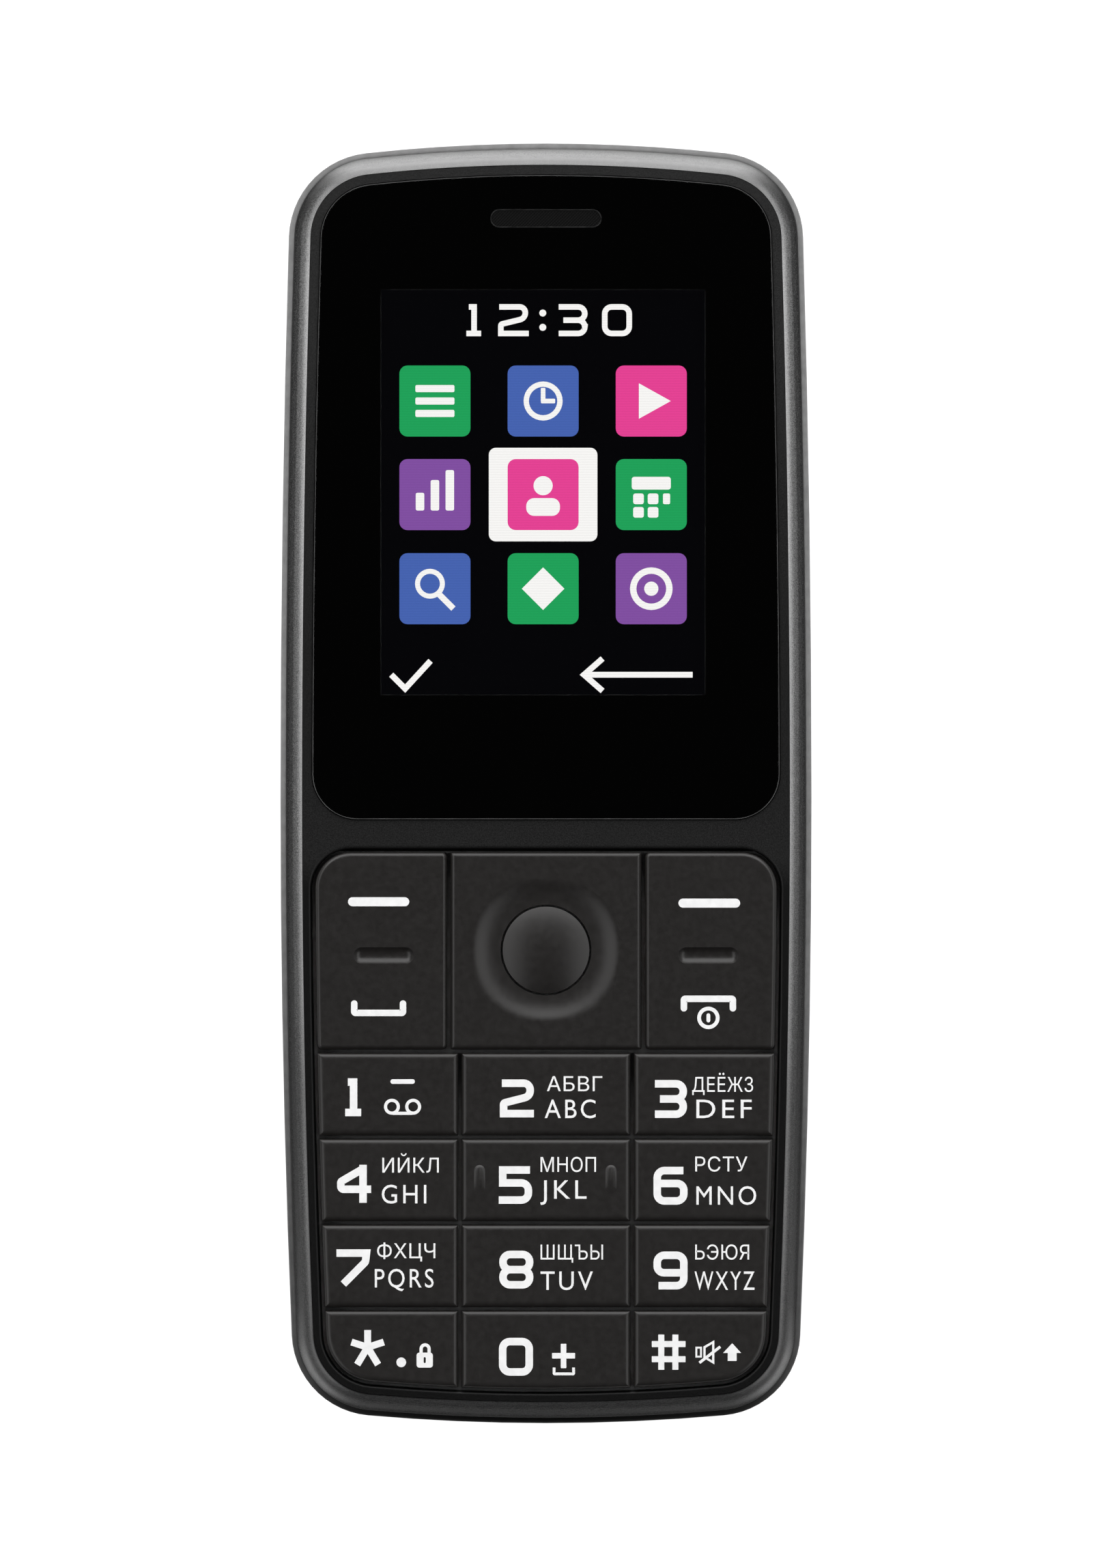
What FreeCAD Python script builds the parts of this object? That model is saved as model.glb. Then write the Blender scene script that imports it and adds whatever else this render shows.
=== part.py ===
import FreeCAD, Part
import math
import os

Vector = FreeCAD.Vector

# A candy-bar mobile phone lying on its back: +X to the right of the screen, +Y towards the earpiece,
# +Z out of the screen. The origin is under the middle of the back. Lengths are in millimetres.

# Outline of the body: six tangent arcs on each side of the middle line
side_room = 6.02
waist_rise = 1.6
top_arc = 144.8
bottom_arc = 177.0
side_arc_top = 1640.0
side_arc_bottom = 1100.0
top_corner = 7.5
bottom_corner = 7.27

# Clearances
slip_gap = 0.2
seat_gap = 0.03
running_gap = 0.25
key_gap = 0.3
key_travel = 0.3
press_margin = 0.05

# How far a cut runs past the face that it goes through
over = 1.0

# Battery cover and the shell inside it
cover_wall = 1.2
cover_height = 5.2
back_rounding = 4.6
parting_gap = 0.1
notch_width = 9.0
notch_depth = 0.9
notch_height = 1.6

# Battery and its bay
battery_width = 34.0
battery_length = 53.0
battery_thickness = 4.8
battery_rounding = 1.2
battery_edge = 0.5
terminal_low = 2.0
terminal_high = 0.7
terminal_margin = 0.25
terminal_depth = 0.2
bay_floor = 1.0
contact_count = 3
contact_pitch = 2.5
contact_width = 1.2
contact_rounding = 0.3
contact_foot = 0.8
contact_drop = 0.9

# Rear housing
pod_floor = 0.8
rear_wall = 2.2
board_ledge = 1.0
rim_depth = 1.1
band_rounding = 0.45
cavity_side = 4.62
cavity_rounding = 3.0
bay_wall = 1.9
end_wall = 4.29
lower_cavity_side = 7.02
lower_cavity_length = 9.0

# Front ring and front housing
ring_inset = 1.9
ring_seam = 0.12
ring_sections = 5
ring_proud = 0.05
ring_setback = 0.02
bridge_width = 1.77
boss_root = 0.5
front_skirt = 1.5
well_rounding = 0.3

# Board and what stands on it
board_thickness = 0.8
solder_gap = 0.5
board_clearance = 0.1
shield_height = 1.1
shield_wall = 0.2
shield_width = 30.0
shield_length = 28.0
shield_setback = 1.3
rf_shield_width = 8.0
rf_shield_length = 16.0
rf_shield_height = 1.4
rf_shield_setback = 2.35
cavity_margin = 0.4

# Screws
screw_side = 3.82
screw_rise = 2.07
screw_top_side = 6.82
screw_top_drop = 7.84
screw_shank_radius = 0.85
screw_head_radius = 1.3
screw_head_height = 0.9
screw_head_z = 4.0
screw_length = 7.2
screw_slot = 0.35
drive_width = 0.4
drive_length = 2.1
boss_wall = 1.15

# Screen and window
screen_width = 28.03
screen_length = 35.04
screen_drop = 6.18
display_thickness = 2.0
display_gap = 0.2
display_border_top = 2.8
display_border_bottom = 7.2
display_border_side = 3.285
display_recess = 0.15
aperture_margin = 0.7
window_ledge = 0.8
tape_thickness = 0.1
tape_inset = 0.15
tape_margin = 1.6
window_thickness = 0.9
window_inset = 2.8
window_gap = 0.08
window_proud = 0.2
window_corner = 3.9
window_chamfer = 0.12
flex_width = 10.0
flex_thickness = 0.15
flex_tail = 3.4
flex_setback = 1.0

# Earpiece
slot_width = 9.75
slot_height = 1.7
slot_drop = 6.54
mesh_gap = 0.05
mesh_recess = 0.1
receiver_width = 12.0
receiver_height = 5.0
receiver_thickness = 2.1
receiver_corner = 1.2
receiver_lip = 1.2
receiver_dish = 0.4
port_margin = 0.3

# Keypad
keypad_inset = 3.0
keypad_top_corner = 3.1
bar_length = 2.87
nav_row_length = 17.23
row_pitch = 7.43
last_row_length = 6.95
nav_half_width = 8.42
middle_half_width = 7.46
key_proud = 0.5
key_bevel = 0.4
key_corner = 0.8
nav_corner = 0.45
plunger_radius = 1.2
dip_length = 5.6
dip_radius = 0.9
dip_depth = 0.35
dip_shift = 0.17
dip_drop = 0.315
rocker_plunger_spread = 5.2
mark_margin = 1.71
mark_width = 1.15
mark_length = 2.36
mark_stroke = 0.28
mark_height = 0.15
mark_y_offset = 0.25
mark_root = 0.1

# Four-way pad and its middle button
dish_diameter = 12.6
dish_depth = 0.55
ok_diameter = 7.5
ok_proud = 0.3
ok_gap = 0.18
ok_edge_drop = 0.65
actuator_width = 13.6
actuator_thickness = 0.45
actuator_gap = 0.3
actuator_corner = 1.5
pad_plunger_reach = 5.7
pad_lift = 0.16

# Key mat and domes
mat_thickness = 0.8
mat_foot = 0.8
mat_foot_width = 0.9
sheet_thickness = 0.1
sheet_inset = 4.4
dome_height = 0.25
dome_radius = 1.9
dome_top_radius = 0.8

# Card holders under the battery
sim_width = 15.4
sim_length = 17.0
sim_gap = 1.2
sim_setback = 2.25
card_holder_width = 13.4
card_holder_length = 14.0
card_holder_gap = 4.5
holder_height = 1.3
holder_sheet = 0.2
holder_window_width = 8.6
holder_window_length = 8.4
holder_window_shift = 2.3

# Sockets in the top edge
socket_drop = 2.5
jack_side = 12.02
jack_bore_radius = 1.75
jack_length = 12.3
jack_width = 6.0
jack_height = 4.9
jack_bore_depth = 11.5
jack_hole_margin = 0.1
usb_side = 14.52
usb_mouth_width = 6.9
usb_mouth_height = 1.85
usb_wall = 0.3
usb_length = 5.6
usb_tongue_width = 3.8
usb_tongue_height = 0.55
usb_tongue_length = 3.6
usb_cut_margin = 0.45
usb_slant = 0.7
usb_back_wall = 0.8
socket_run = 2.2
hole_run = 0.5

# Camera
camera_drop = 14.44
camera_gap = 4.7
camera_size = 7.5
camera_body_height = 4.4
barrel_radius = 2.5
camera_window_radius = 3.3
camera_window_thickness = 0.75
turret_wall = 1.2
turret_recess = 0.3
camera_port_radius = 2.7
lens_recess = 0.4
lens_rim = 0.8
pane_chamfer = 0.1

# Loudspeaker
speaker_width = 16.0
speaker_length = 12.4
speaker_thickness = 3.6
speaker_gap = 1.0
speaker_corner = 3.0
grille_slots = 5
grille_pitch = 2.3
grille_slot_width = 1.1
grille_slot_length = 9.0
grille_mesh_thickness = 0.15
magnet_width = 10.0
magnet_length = 7.4
magnet_height = 0.4
magnet_corner = 1.5
cone_margin = 1.5
cone_depth = 0.6
mesh_margin = 0.5

# Small parts
motor_radius = 4.0
motor_thickness = 2.7
motor_setback = 4.85
motor_rounding = 0.5
microphone_radius = 2.0
microphone_thickness = 1.5
microphone_side = 0.8
microphone_setback = 0.25
microphone_hole_radius = 0.5
microphone_port_depth = 0.2
antenna_width = 21.0
antenna_length = 6.4
antenna_sheet = 0.3
antenna_drop = 1.2
antenna_slot = 0.8
antenna_slots = 4
antenna_leg = 1.5
antenna_margin = 0.9
connector_width = 8.6
connector_length = 4.0
connector_height = 4.0
connector_margin = 0.5

# Heights, stacked from the back to the front
press_gap = key_travel + press_margin
battery_z = cover_wall + key_gap
bay_top_z = battery_z + battery_thickness + slip_gap
inner_floor_z = bay_top_z + bay_floor
board_z = inner_floor_z + solder_gap
board_top_z = board_z + board_thickness
split_z = board_top_z + rim_depth
display_z = board_top_z + shield_height + display_gap
display_top_z = display_z + display_thickness
ledge_top_z = display_top_z + window_ledge
window_z = ledge_top_z + tape_thickness
window_top_z = window_z + window_thickness
frame_top_z = window_top_z - window_proud
ring_top_z = frame_top_z + ring_proud
key_top_z = frame_top_z + key_proud
dome_sheet_top_z = board_top_z + sheet_thickness
plunger_z = dome_sheet_top_z + dome_height + press_gap
mat_z = board_top_z + mat_foot
mat_top_z = mat_z + mat_thickness
key_z = mat_top_z + press_gap
pad_z = key_z + actuator_thickness + actuator_gap
pod_z = cover_wall + key_gap
pod_floor_z = pod_z + pod_floor
socket_z = split_z - socket_drop

# The body is as wide and as long as what lies in it: from the bottom edge to the top edge the antenna,
# the battery, its connector, the loudspeaker, the camera and the sockets
lower_room = end_wall + lower_cavity_length + bay_wall + running_gap
upper_room = running_gap + bay_wall + connector_length + speaker_gap + speaker_length
upper_room += camera_gap + camera_size / 2 + camera_drop
body_width = battery_width + 2 * side_room
body_length = lower_room + battery_length + upper_room
half_width = body_width / 2
half_length = body_length / 2

# The front face: the keys are placed from the bottom edge, the slot and the screen from the top edge
nav_row_bottom_y = -half_length + keypad_inset + last_row_length + 3 * row_pitch
keypad_top_y = nav_row_bottom_y + nav_row_length
window_bottom_y = keypad_top_y + bar_length
widest_y = window_bottom_y + waist_rise
slot_y = half_length - slot_drop
screen_y = slot_y - screen_drop - screen_length / 2
display_width = screen_width + 2 * display_border_side
display_length = screen_length + display_border_top + display_border_bottom
display_y = screen_y + (display_border_top - display_border_bottom) / 2
display_low_y = display_y - display_length / 2
row_middle_y = (keypad_top_y + nav_row_bottom_y) / 2
pad_y = row_middle_y + pad_lift
dip_x = (nav_half_width + half_width - keypad_inset) / 2 - dip_shift
dip_y = row_middle_y - dip_drop
key_rows_y = [nav_row_bottom_y - row_pitch * row for row in range(4)]
key_names = [["1", "2", "3"], ["4", "5", "6"], ["7", "8", "9"], ["star", "0", "hash"]]
mark_x = middle_half_width - mark_margin

# Inside, placed from the walls of the bay and the cavities
pod_inset = cover_wall + slip_gap
bay_half_width = battery_width / 2 + running_gap
bay_low_y = lower_room - running_gap - half_length
bay_high_y = bay_low_y + battery_length + 2 * running_gap
battery_y = (bay_low_y + bay_high_y) / 2
cavity_low_y = bay_high_y + bay_wall
cavity_high_y = half_length - end_wall
cavity_half_width = half_width - cavity_side
lower_cavity_half_width = half_width - lower_cavity_side
bridge_y = keypad_top_y + bridge_width
speaker_y = cavity_low_y + connector_length + speaker_gap + speaker_length / 2
camera_y = half_length - camera_drop
jack_x = jack_side - half_width
usb_x = half_width - usb_side
motor_x = motor_radius + cavity_margin - cavity_half_width
motor_y = cavity_low_y + motor_setback + motor_radius
rf_shield_x = cavity_half_width - cavity_margin - rf_shield_width / 2
rf_shield_y = cavity_low_y + rf_shield_setback + rf_shield_length / 2
sim_x = (sim_width + sim_gap) / 2
sim_y = bay_low_y + sim_setback + sim_length / 2
card_holder_y = sim_y + sim_length / 2 + card_holder_gap + card_holder_length / 2
microphone_x = lower_cavity_half_width - microphone_side - microphone_radius
microphone_y = end_wall + microphone_setback + microphone_radius - half_length
antenna_x = antenna_width / 2 + antenna_margin - lower_cavity_half_width
screw_places = [(side * (half_width - screw_top_side), half_length - screw_top_drop) for side in (-1, 1)]
screw_places += [(side * (half_width - screw_side), keypad_top_y + screw_rise) for side in (-1, 1)]


def corner_center(end_y, end_radius, side_x, side_radius, corner, up):
    # centre of the corner circle that touches the end arc and the side arc from inside
    reach_end = end_radius - corner
    reach_side = side_radius - corner
    end = Vector(0, end_y, 0)
    along = Vector(side_x, widest_y, 0) - end
    distance = along.Length
    along.normalize()
    across = Vector(-along.y, along.x, 0)
    step = (reach_end**2 - reach_side**2 + distance**2) / (2 * distance)
    height = math.sqrt(reach_end**2 - step**2)
    places = [end + along * step + across * height, end + along * step - across * height]
    return max(places, key=lambda place: up * place.y)


def arc_between(center, start, end):
    # the shorter arc about center
    middle = (start - center) + (end - center)
    middle.normalize()
    return Part.Arc(start, center + middle * (start - center).Length, end).toShape()


def outline(inset, z):
    # the body's outline, drawn in by inset; every arc keeps its centre
    top_center = Vector(0, half_length - top_arc, 0)
    bottom_center = Vector(0, bottom_arc - half_length, 0)
    upper_center = Vector(half_width - side_arc_top, widest_y, 0)
    lower_center = Vector(half_width - side_arc_bottom, widest_y, 0)
    top = corner_center(top_center.y, top_arc, upper_center.x, side_arc_top, top_corner, 1)
    bottom = corner_center(bottom_center.y, bottom_arc, lower_center.x, side_arc_bottom, bottom_corner, -1)

    def touch(big, big_radius, small):
        way = small - big
        way.normalize()
        return big + way * (big_radius - inset)

    widest = Vector(half_width - inset, widest_y, 0)
    chain = [
        (upper_center, widest),
        (top, touch(upper_center, side_arc_top, top)),
        (top_center, touch(top_center, top_arc, top)),
        (lower_center, widest),
        (bottom, touch(lower_center, side_arc_bottom, bottom)),
        (bottom_center, touch(bottom_center, bottom_arc, bottom)),
    ]

    def flip(point):
        return Vector(-point.x, point.y, 0)

    head = Vector(0, half_length - inset, 0)
    foot = Vector(0, inset - half_length, 0)
    (c1, p1), (c2, p2), (c3, p3), (c4, _), (c5, p5), (c6, p6) = chain
    edges = [
        arc_between(c1, p1, p2),
        arc_between(c2, p2, p3),
        arc_between(c3, p3, head),
        arc_between(c3, head, flip(p3)),
        arc_between(flip(c2), flip(p3), flip(p2)),
        arc_between(flip(c1), flip(p2), flip(p1)),
        arc_between(flip(c4), flip(p1), flip(p5)),
        arc_between(flip(c5), flip(p5), flip(p6)),
        arc_between(c6, flip(p6), foot),
        arc_between(c6, foot, p6),
        arc_between(c5, p6, p5),
        arc_between(c4, p5, p1),
    ]
    wire = Part.Wire(edges)
    wire.translate(Vector(0, 0, z))
    return wire


def prism(inset, low, high):
    return Part.Face(outline(inset, low)).extrude(Vector(0, 0, high - low))


def block(x, y, low, high, width, length):
    # a box centred on x, y
    return Part.makeBox(width, length, high - low, Vector(x - width / 2, y - length / 2, low))


def post(x, y, low, high, radius):
    return Part.makeCylinder(radius, high - low, Vector(x, y, low))


def stadium(x, y, low, high, width, height):
    # a slot shape with round ends, its long way along X
    reach = (width - height) / 2
    middle = block(x, y, low, high, 2 * reach, height)
    ends = [post(x + side * reach, y, low, high, height / 2) for side in (-1, 1)]
    return middle.fuse(ends).removeSplitter()


def edges_at(shape, z):
    def level(box):
        return abs(box.ZMin - z) < 1e-4 and abs(box.ZMax - z) < 1e-4

    return [edge for edge in shape.Edges if level(edge.BoundBox)]


def upright_edges(shape, test):
    found = []
    for edge in shape.Edges:
        box = edge.BoundBox
        if box.XLength < 1e-3 and box.YLength < 1e-3 and test(box.XMin, box.YMin):
            found.append(edge)
    return found


def rounded_block(x, y, low, high, width, length, corner):
    solid = block(x, y, low, high, width, length)
    return solid.makeFillet(corner, upright_edges(solid, lambda px, py: True))


def window_form(inset, low, high, bottom_y, corner):
    # the outline cut straight below the screen, with round lower corners
    reach = block(0, bottom_y + body_length / 2, low, high, 2 * body_width, body_length)
    solid = prism(inset, low, high).common(reach)
    return solid.makeFillet(corner, upright_edges(solid, lambda px, py: abs(py - bottom_y) < 1e-3))


def keypad_form(inset, low, high, top_y, corner):
    # the outline cut straight above the keys, with round upper corners
    reach = block(0, top_y - body_length / 2, low, high, 2 * body_width, body_length)
    solid = prism(inset, low, high).common(reach)
    return solid.makeFillet(corner, upright_edges(solid, lambda px, py: abs(py - top_y) < 1e-3))


def grille(low, high):
    slots = []
    for index in range(grille_slots):
        y = speaker_y + grille_pitch * (index - (grille_slots - 1) / 2)
        slots.append(stadium(0, y, low, high, grille_slot_length, grille_slot_width))
    return slots


def battery_cover():
    top = cover_height
    outer = prism(0, 0, top)
    outer = outer.makeFillet(back_rounding, edges_at(outer, 0))
    inner = prism(cover_wall, cover_wall, top + over)
    inner = inner.makeFillet(back_rounding - cover_wall, edges_at(inner, cover_wall))
    shell = outer.cut(inner)
    camera_hole = post(0, camera_y, -over, cover_wall + over, turret_radius() + slip_gap)
    notch = block(0, -half_length, top - notch_height, top + over, notch_width, 2 * notch_depth)
    ends = [e for e in edges_at(notch, top - notch_height) if e.BoundBox.YLength > notch_depth]
    notch = notch.makeFillet(notch_height / 2, ends)
    return shell.cut([camera_hole, notch] + grille(-over, cover_wall + over))


def turret_radius():
    return camera_window_radius + turret_wall


def screw_cuts(low, high, radius):
    return [post(x, y, low, high, radius) for x, y in screw_places]


def rear_housing():
    # side band, flush with the cover, and the pod that the cover closes over
    band = prism(0, cover_height + parting_gap, split_z)
    band = band.makeFillet(band_rounding, edges_at(band, split_z))
    pod = pod_form(cover_height + parting_gap)
    turret = post(0, camera_y, turret_recess, pod_z, turret_radius())
    body = band.fuse([pod, turret])

    cuts = [
        prism(rear_wall, board_z, split_z + over),
        prism(ring_inset, board_top_z, split_z + over),
        prism(rear_wall + board_ledge, inner_floor_z, board_z + over),
        bay_space(),
        upper_cavity(),
        lower_cavity(),
    ]
    body = body.cut(cuts)

    # bosses carry the board, and the screws pass through them
    bosses = []
    for x, y in screw_places:
        boss = post(x, y, pod_z, board_z, screw_head_radius + slip_gap + boss_wall)
        bosses.append(boss.common(pod_form(board_z)).cut(bay_space()))
    body = body.fuse(bosses)
    holes = screw_cuts(pod_z - over, screw_head_z + screw_head_height, screw_head_radius + slip_gap)
    holes += screw_cuts(pod_z, split_z, screw_shank_radius + slip_gap)
    holes += grille(pod_z - over, pod_floor_z + over)
    holes.append(post(0, camera_y, -over, pod_floor_z + over, camera_port_radius))
    recess_top = turret_recess + camera_window_thickness + seat_gap
    holes.append(post(0, camera_y, -over, recess_top, camera_window_radius + seat_gap))
    holes += holder_spaces(bay_top_z - over, board_z, slip_gap)
    holes.append(connector_space())
    holes += socket_spaces()
    holes.append(microphone_hole())
    return body.cut(holes)


def pod_form(high):
    # the inner shell's outside, which follows the cover's inside
    pod = prism(pod_inset, pod_z, high)
    return pod.makeFillet(back_rounding - cover_wall - slip_gap, edges_at(pod, pod_z))


def bay_space():
    width = 2 * bay_half_width
    length = bay_high_y - bay_low_y
    y = (bay_high_y + bay_low_y) / 2
    return rounded_block(0, y, -over, bay_top_z, width, length, battery_rounding)


def upper_cavity():
    length = cavity_high_y - cavity_low_y
    y = (cavity_high_y + cavity_low_y) / 2
    return rounded_block(0, y, pod_floor_z, board_z + over, 2 * cavity_half_width, length, cavity_rounding)


def lower_cavity():
    high_y = bay_low_y - bay_wall
    y = high_y - lower_cavity_length / 2
    width = 2 * lower_cavity_half_width
    return rounded_block(0, y, pod_floor_z, board_z + over, width, lower_cavity_length, cavity_rounding)


def holder_spaces(low, high, gap):
    spaces = [
        block(side * sim_x, sim_y, low, high, sim_width + 2 * gap, sim_length + 2 * gap) for side in (-1, 1)
    ]
    spaces.append(block(0, card_holder_y, low, high, card_holder_width + 2 * gap,
                        card_holder_length + 2 * gap))
    return spaces


def connector_space():
    # the notch in the bay's end wall where the battery contacts come through
    y = bay_high_y + bay_wall / 2
    low = board_z - connector_height
    width = connector_width - 2 * connector_margin
    return block(0, y, low, inner_floor_z + over, width, bay_wall + 2 * seat_gap)


def wall_y(x, inset):
    # where the top wall stands at x
    radius = top_arc - inset
    return half_length - top_arc + math.sqrt(radius**2 - x**2)


def jack_front_y():
    return wall_y(abs(jack_x) + jack_width / 2, rear_wall) - seat_gap


def usb_outer(margin):
    width = usb_mouth_width + 2 * usb_wall + 2 * margin
    height = usb_mouth_height + 2 * usb_wall + 2 * margin
    return width, height


def usb_front_y():
    width, _ = usb_outer(0)
    return wall_y(usb_x + width / 2, rear_wall) - seat_gap


def socket_spaces():
    # pockets behind the wall and holes through it for the two sockets
    jack = post(0, 0, 0, 3 * rear_wall, jack_bore_radius + jack_hole_margin)
    jack.rotate(Vector(0, 0, 0), Vector(1, 0, 0), -90)
    jack.translate(Vector(jack_x, jack_front_y() - hole_run, socket_z))
    jack_low = socket_z - jack_height / 2 - seat_gap
    jack_y = jack_front_y() - jack_length / 2
    jack_pocket = block(jack_x, jack_y, jack_low, split_z + over, jack_width + 2 * seat_gap,
                        jack_length + 2 * seat_gap)
    mouth = usb_mouth(usb_cut_margin, 3 * rear_wall)
    mouth.translate(Vector(usb_x, usb_front_y() - hole_run, socket_z))
    width, height = usb_outer(seat_gap)
    usb_y = usb_front_y() - usb_length / 2
    usb_pocket = block(usb_x, usb_y, socket_z - height / 2, split_z + over, width, usb_length + 2 * seat_gap)
    return [jack, jack_pocket, mouth, usb_pocket]


def usb_mouth(margin, depth):
    # the socket's opening: flat on one long side, with slanted lower corners, drawn out along +Y
    half = usb_mouth_width / 2 + margin
    tall = usb_mouth_height / 2 + margin
    foot = half - usb_slant
    corners = [(-half, tall), (half, tall), (half, 0), (foot, -tall), (-foot, -tall), (-half, 0)]
    points = [Vector(x, 0, z) for x, z in corners]
    return Part.Face(Part.makePolygon(points + points[:1])).extrude(Vector(0, depth, 0))


def microphone_hole():
    hole = post(0, 0, 0, rear_wall * 3, microphone_hole_radius)
    hole.rotate(Vector(0, 0, 0), Vector(1, 0, 0), 90)
    hole.translate(Vector(microphone_x, -half_length + rear_wall * 2, board_z - microphone_thickness / 2))
    return hole


def front_ring():
    # a chamfered foot on the seam, then a quarter-ellipse section drawn in towards the frame
    foot_inset = band_rounding + ring_seam
    outer_inset = band_rounding + ring_setback
    foot_z = split_z + ring_seam
    foot = Part.makeLoft([outline(foot_inset, split_z), outline(outer_inset, foot_z)], True, True)
    sections = []
    for index in range(ring_sections):
        turn = math.pi / 2 * index / (ring_sections - 1)
        inset = outer_inset + (ring_inset - outer_inset) * (1 - math.cos(turn))
        height = foot_z + (ring_top_z - foot_z) * math.sin(turn)
        sections.append(outline(inset, height))
    crown = Part.makeLoft(sections, True, False)
    core = prism(ring_inset, split_z - over, ring_top_z + over)
    return foot.fuse(crown).cut(core)


def front_housing():
    body = prism(ring_inset + seat_gap, board_top_z, frame_top_z)
    inside = prism(ring_inset + front_skirt, board_top_z - over, split_z)
    upper = block(0, bridge_y + body_length / 2, board_top_z - over, split_z, 2 * body_width, body_length)
    window_space = window_form(window_inset - window_gap, ledge_top_z, frame_top_z + over,
                               window_bottom_y - window_gap, window_corner + window_gap)
    aperture = block(0, screen_y, split_z, frame_top_z, screen_width + 2 * aperture_margin,
                     screen_length + 2 * aperture_margin)
    display_space = block(0, display_y, split_z - over, display_top_z, display_width + 2 * slip_gap,
                          display_length + 2 * slip_gap)
    receiver_space = block(0, slot_y, split_z - over, display_top_z, receiver_width + 2 * slip_gap,
                           receiver_height + 2 * slip_gap)
    port = stadium(0, slot_y, display_top_z - over, frame_top_z, slot_width - 2 * port_margin,
                   slot_height - 2 * port_margin)
    well_inset = keypad_inset - key_gap
    well = keypad_form(well_inset, board_top_z - over, frame_top_z + over, keypad_top_y + key_gap,
                       keypad_top_corner + key_gap)
    body = body.cut([inside.common(upper), window_space, aperture, display_space, receiver_space, port, well])
    rim = [e for e in edges_at(body, frame_top_z) if lies_on(e, well)]
    body = body.makeFillet(well_rounding, rim)
    boss_top = split_z + boss_root
    bosses = [post(x, y, board_top_z, boss_top, screw_shank_radius + boss_wall) for x, y in screw_places]
    bosses = [boss.common(prism(ring_inset + seat_gap, board_top_z, boss_top)) for boss in bosses]
    body = body.fuse(bosses)
    holes = screw_cuts(board_top_z - over, screw_tip_z() + slip_gap, screw_shank_radius + seat_gap)
    holes.append(display_space)
    jack_top = socket_z + jack_height / 2 + seat_gap
    holes.append(socket_notch(jack_x, jack_front_y(), jack_width, jack_length, board_top_z - over, jack_top))
    return body.cut(holes)


def lies_on(edge, shape):
    middle = edge.valueAt((edge.FirstParameter + edge.LastParameter) / 2)
    return Part.Vertex(middle).distToShape(shape)[0] < 1e-3


def socket_notch(x, front, width, length, low, high):
    # room for a socket in the board and in the front housing, open towards the top wall
    back = front - length - slip_gap
    end = front + socket_run
    return block(x, (back + end) / 2, low, high, width + 2 * slip_gap, end - back)


def screw_tip_z():
    return screw_head_z + screw_head_height + screw_length


def housing_screws():
    screws = []
    for x, y in screw_places:
        head = post(x, y, screw_head_z, screw_head_z + screw_head_height, screw_head_radius)
        shank = post(x, y, screw_head_z + screw_head_height, screw_tip_z(), screw_shank_radius)
        slots = [
            block(x, y, screw_head_z - over, screw_head_z + screw_slot, drive_width, drive_length),
            block(x, y, screw_head_z - over, screw_head_z + screw_slot, drive_length, drive_width),
        ]
        screws.append(head.fuse(shank).cut(slots))
    return Part.makeCompound(screws)


def display_window():
    pane = window_form(window_inset, window_z, window_top_z, window_bottom_y, window_corner)
    pane = pane.makeChamfer(window_chamfer, edges_at(pane, window_top_z))
    return pane.cut(stadium(0, slot_y, window_z - over, window_top_z + over, slot_width, slot_height))


def window_gasket():
    tape = window_form(window_inset + tape_inset, ledge_top_z, window_z, window_bottom_y + tape_inset,
                       window_corner - tape_inset)
    opening = block(0, screen_y, ledge_top_z - over, window_z + over, screen_width + 2 * tape_margin,
                    screen_length + 2 * tape_margin)
    slot = stadium(0, slot_y, ledge_top_z - over, window_z + over, slot_width, slot_height)
    return tape.cut([opening, slot])


def display_module():
    body = block(0, display_y, display_z, display_top_z, display_width, display_length)
    glass = block(0, screen_y, display_top_z - display_recess, display_top_z + over,
                  screen_width + aperture_margin, screen_length + aperture_margin)
    return body.cut(glass)


def display_flex():
    # a strip that leaves the back of the display and folds under to the board
    low = display_low_y + flex_setback
    rise = display_z - board_top_z
    outer = rise / 2
    inner = outer - flex_thickness
    fold_y = low + outer
    end = Vector(-flex_width / 2, fold_y, board_top_z + outer)
    bend = Part.makeCylinder(outer, flex_width, end, Vector(1, 0, 0))
    hollow = Part.makeCylinder(inner, flex_width, end, Vector(1, 0, 0))
    half = block(0, low, board_top_z, display_z, flex_width, 2 * outer)
    fold = bend.cut(hollow).common(half)
    tail_y = fold_y + flex_tail / 2
    tail = block(0, tail_y, board_top_z, board_top_z + flex_thickness, flex_width, flex_tail)
    head = block(0, tail_y, display_z - flex_thickness, display_z, flex_width, flex_tail)
    return fold.fuse([tail, head]).removeSplitter()


def earpiece_mesh():
    width = slot_width - 2 * mesh_gap
    height = slot_height - 2 * mesh_gap
    return stadium(0, slot_y, ledge_top_z, window_top_z - mesh_recess, width, height)


def earpiece():
    low = display_top_z - receiver_thickness
    body = rounded_block(0, slot_y, low, display_top_z, receiver_width, receiver_height, receiver_corner)
    dish = stadium(0, slot_y, display_top_z - receiver_dish, display_top_z + over,
                   receiver_width - 2 * receiver_lip, receiver_height - 2 * receiver_lip)
    return body.cut(dish)


def main_board():
    board = prism(rear_wall + board_clearance, board_z, board_top_z)
    holes = screw_cuts(board_z - over, board_top_z + over, screw_shank_radius + slip_gap)
    low = board_z - over
    high = board_top_z + over
    holes.append(socket_notch(jack_x, jack_front_y(), jack_width, jack_length, low, high))
    holes.append(socket_notch(usb_x, usb_front_y(), usb_outer(0)[0], usb_length, low, high))
    return board.cut(holes)


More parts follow.
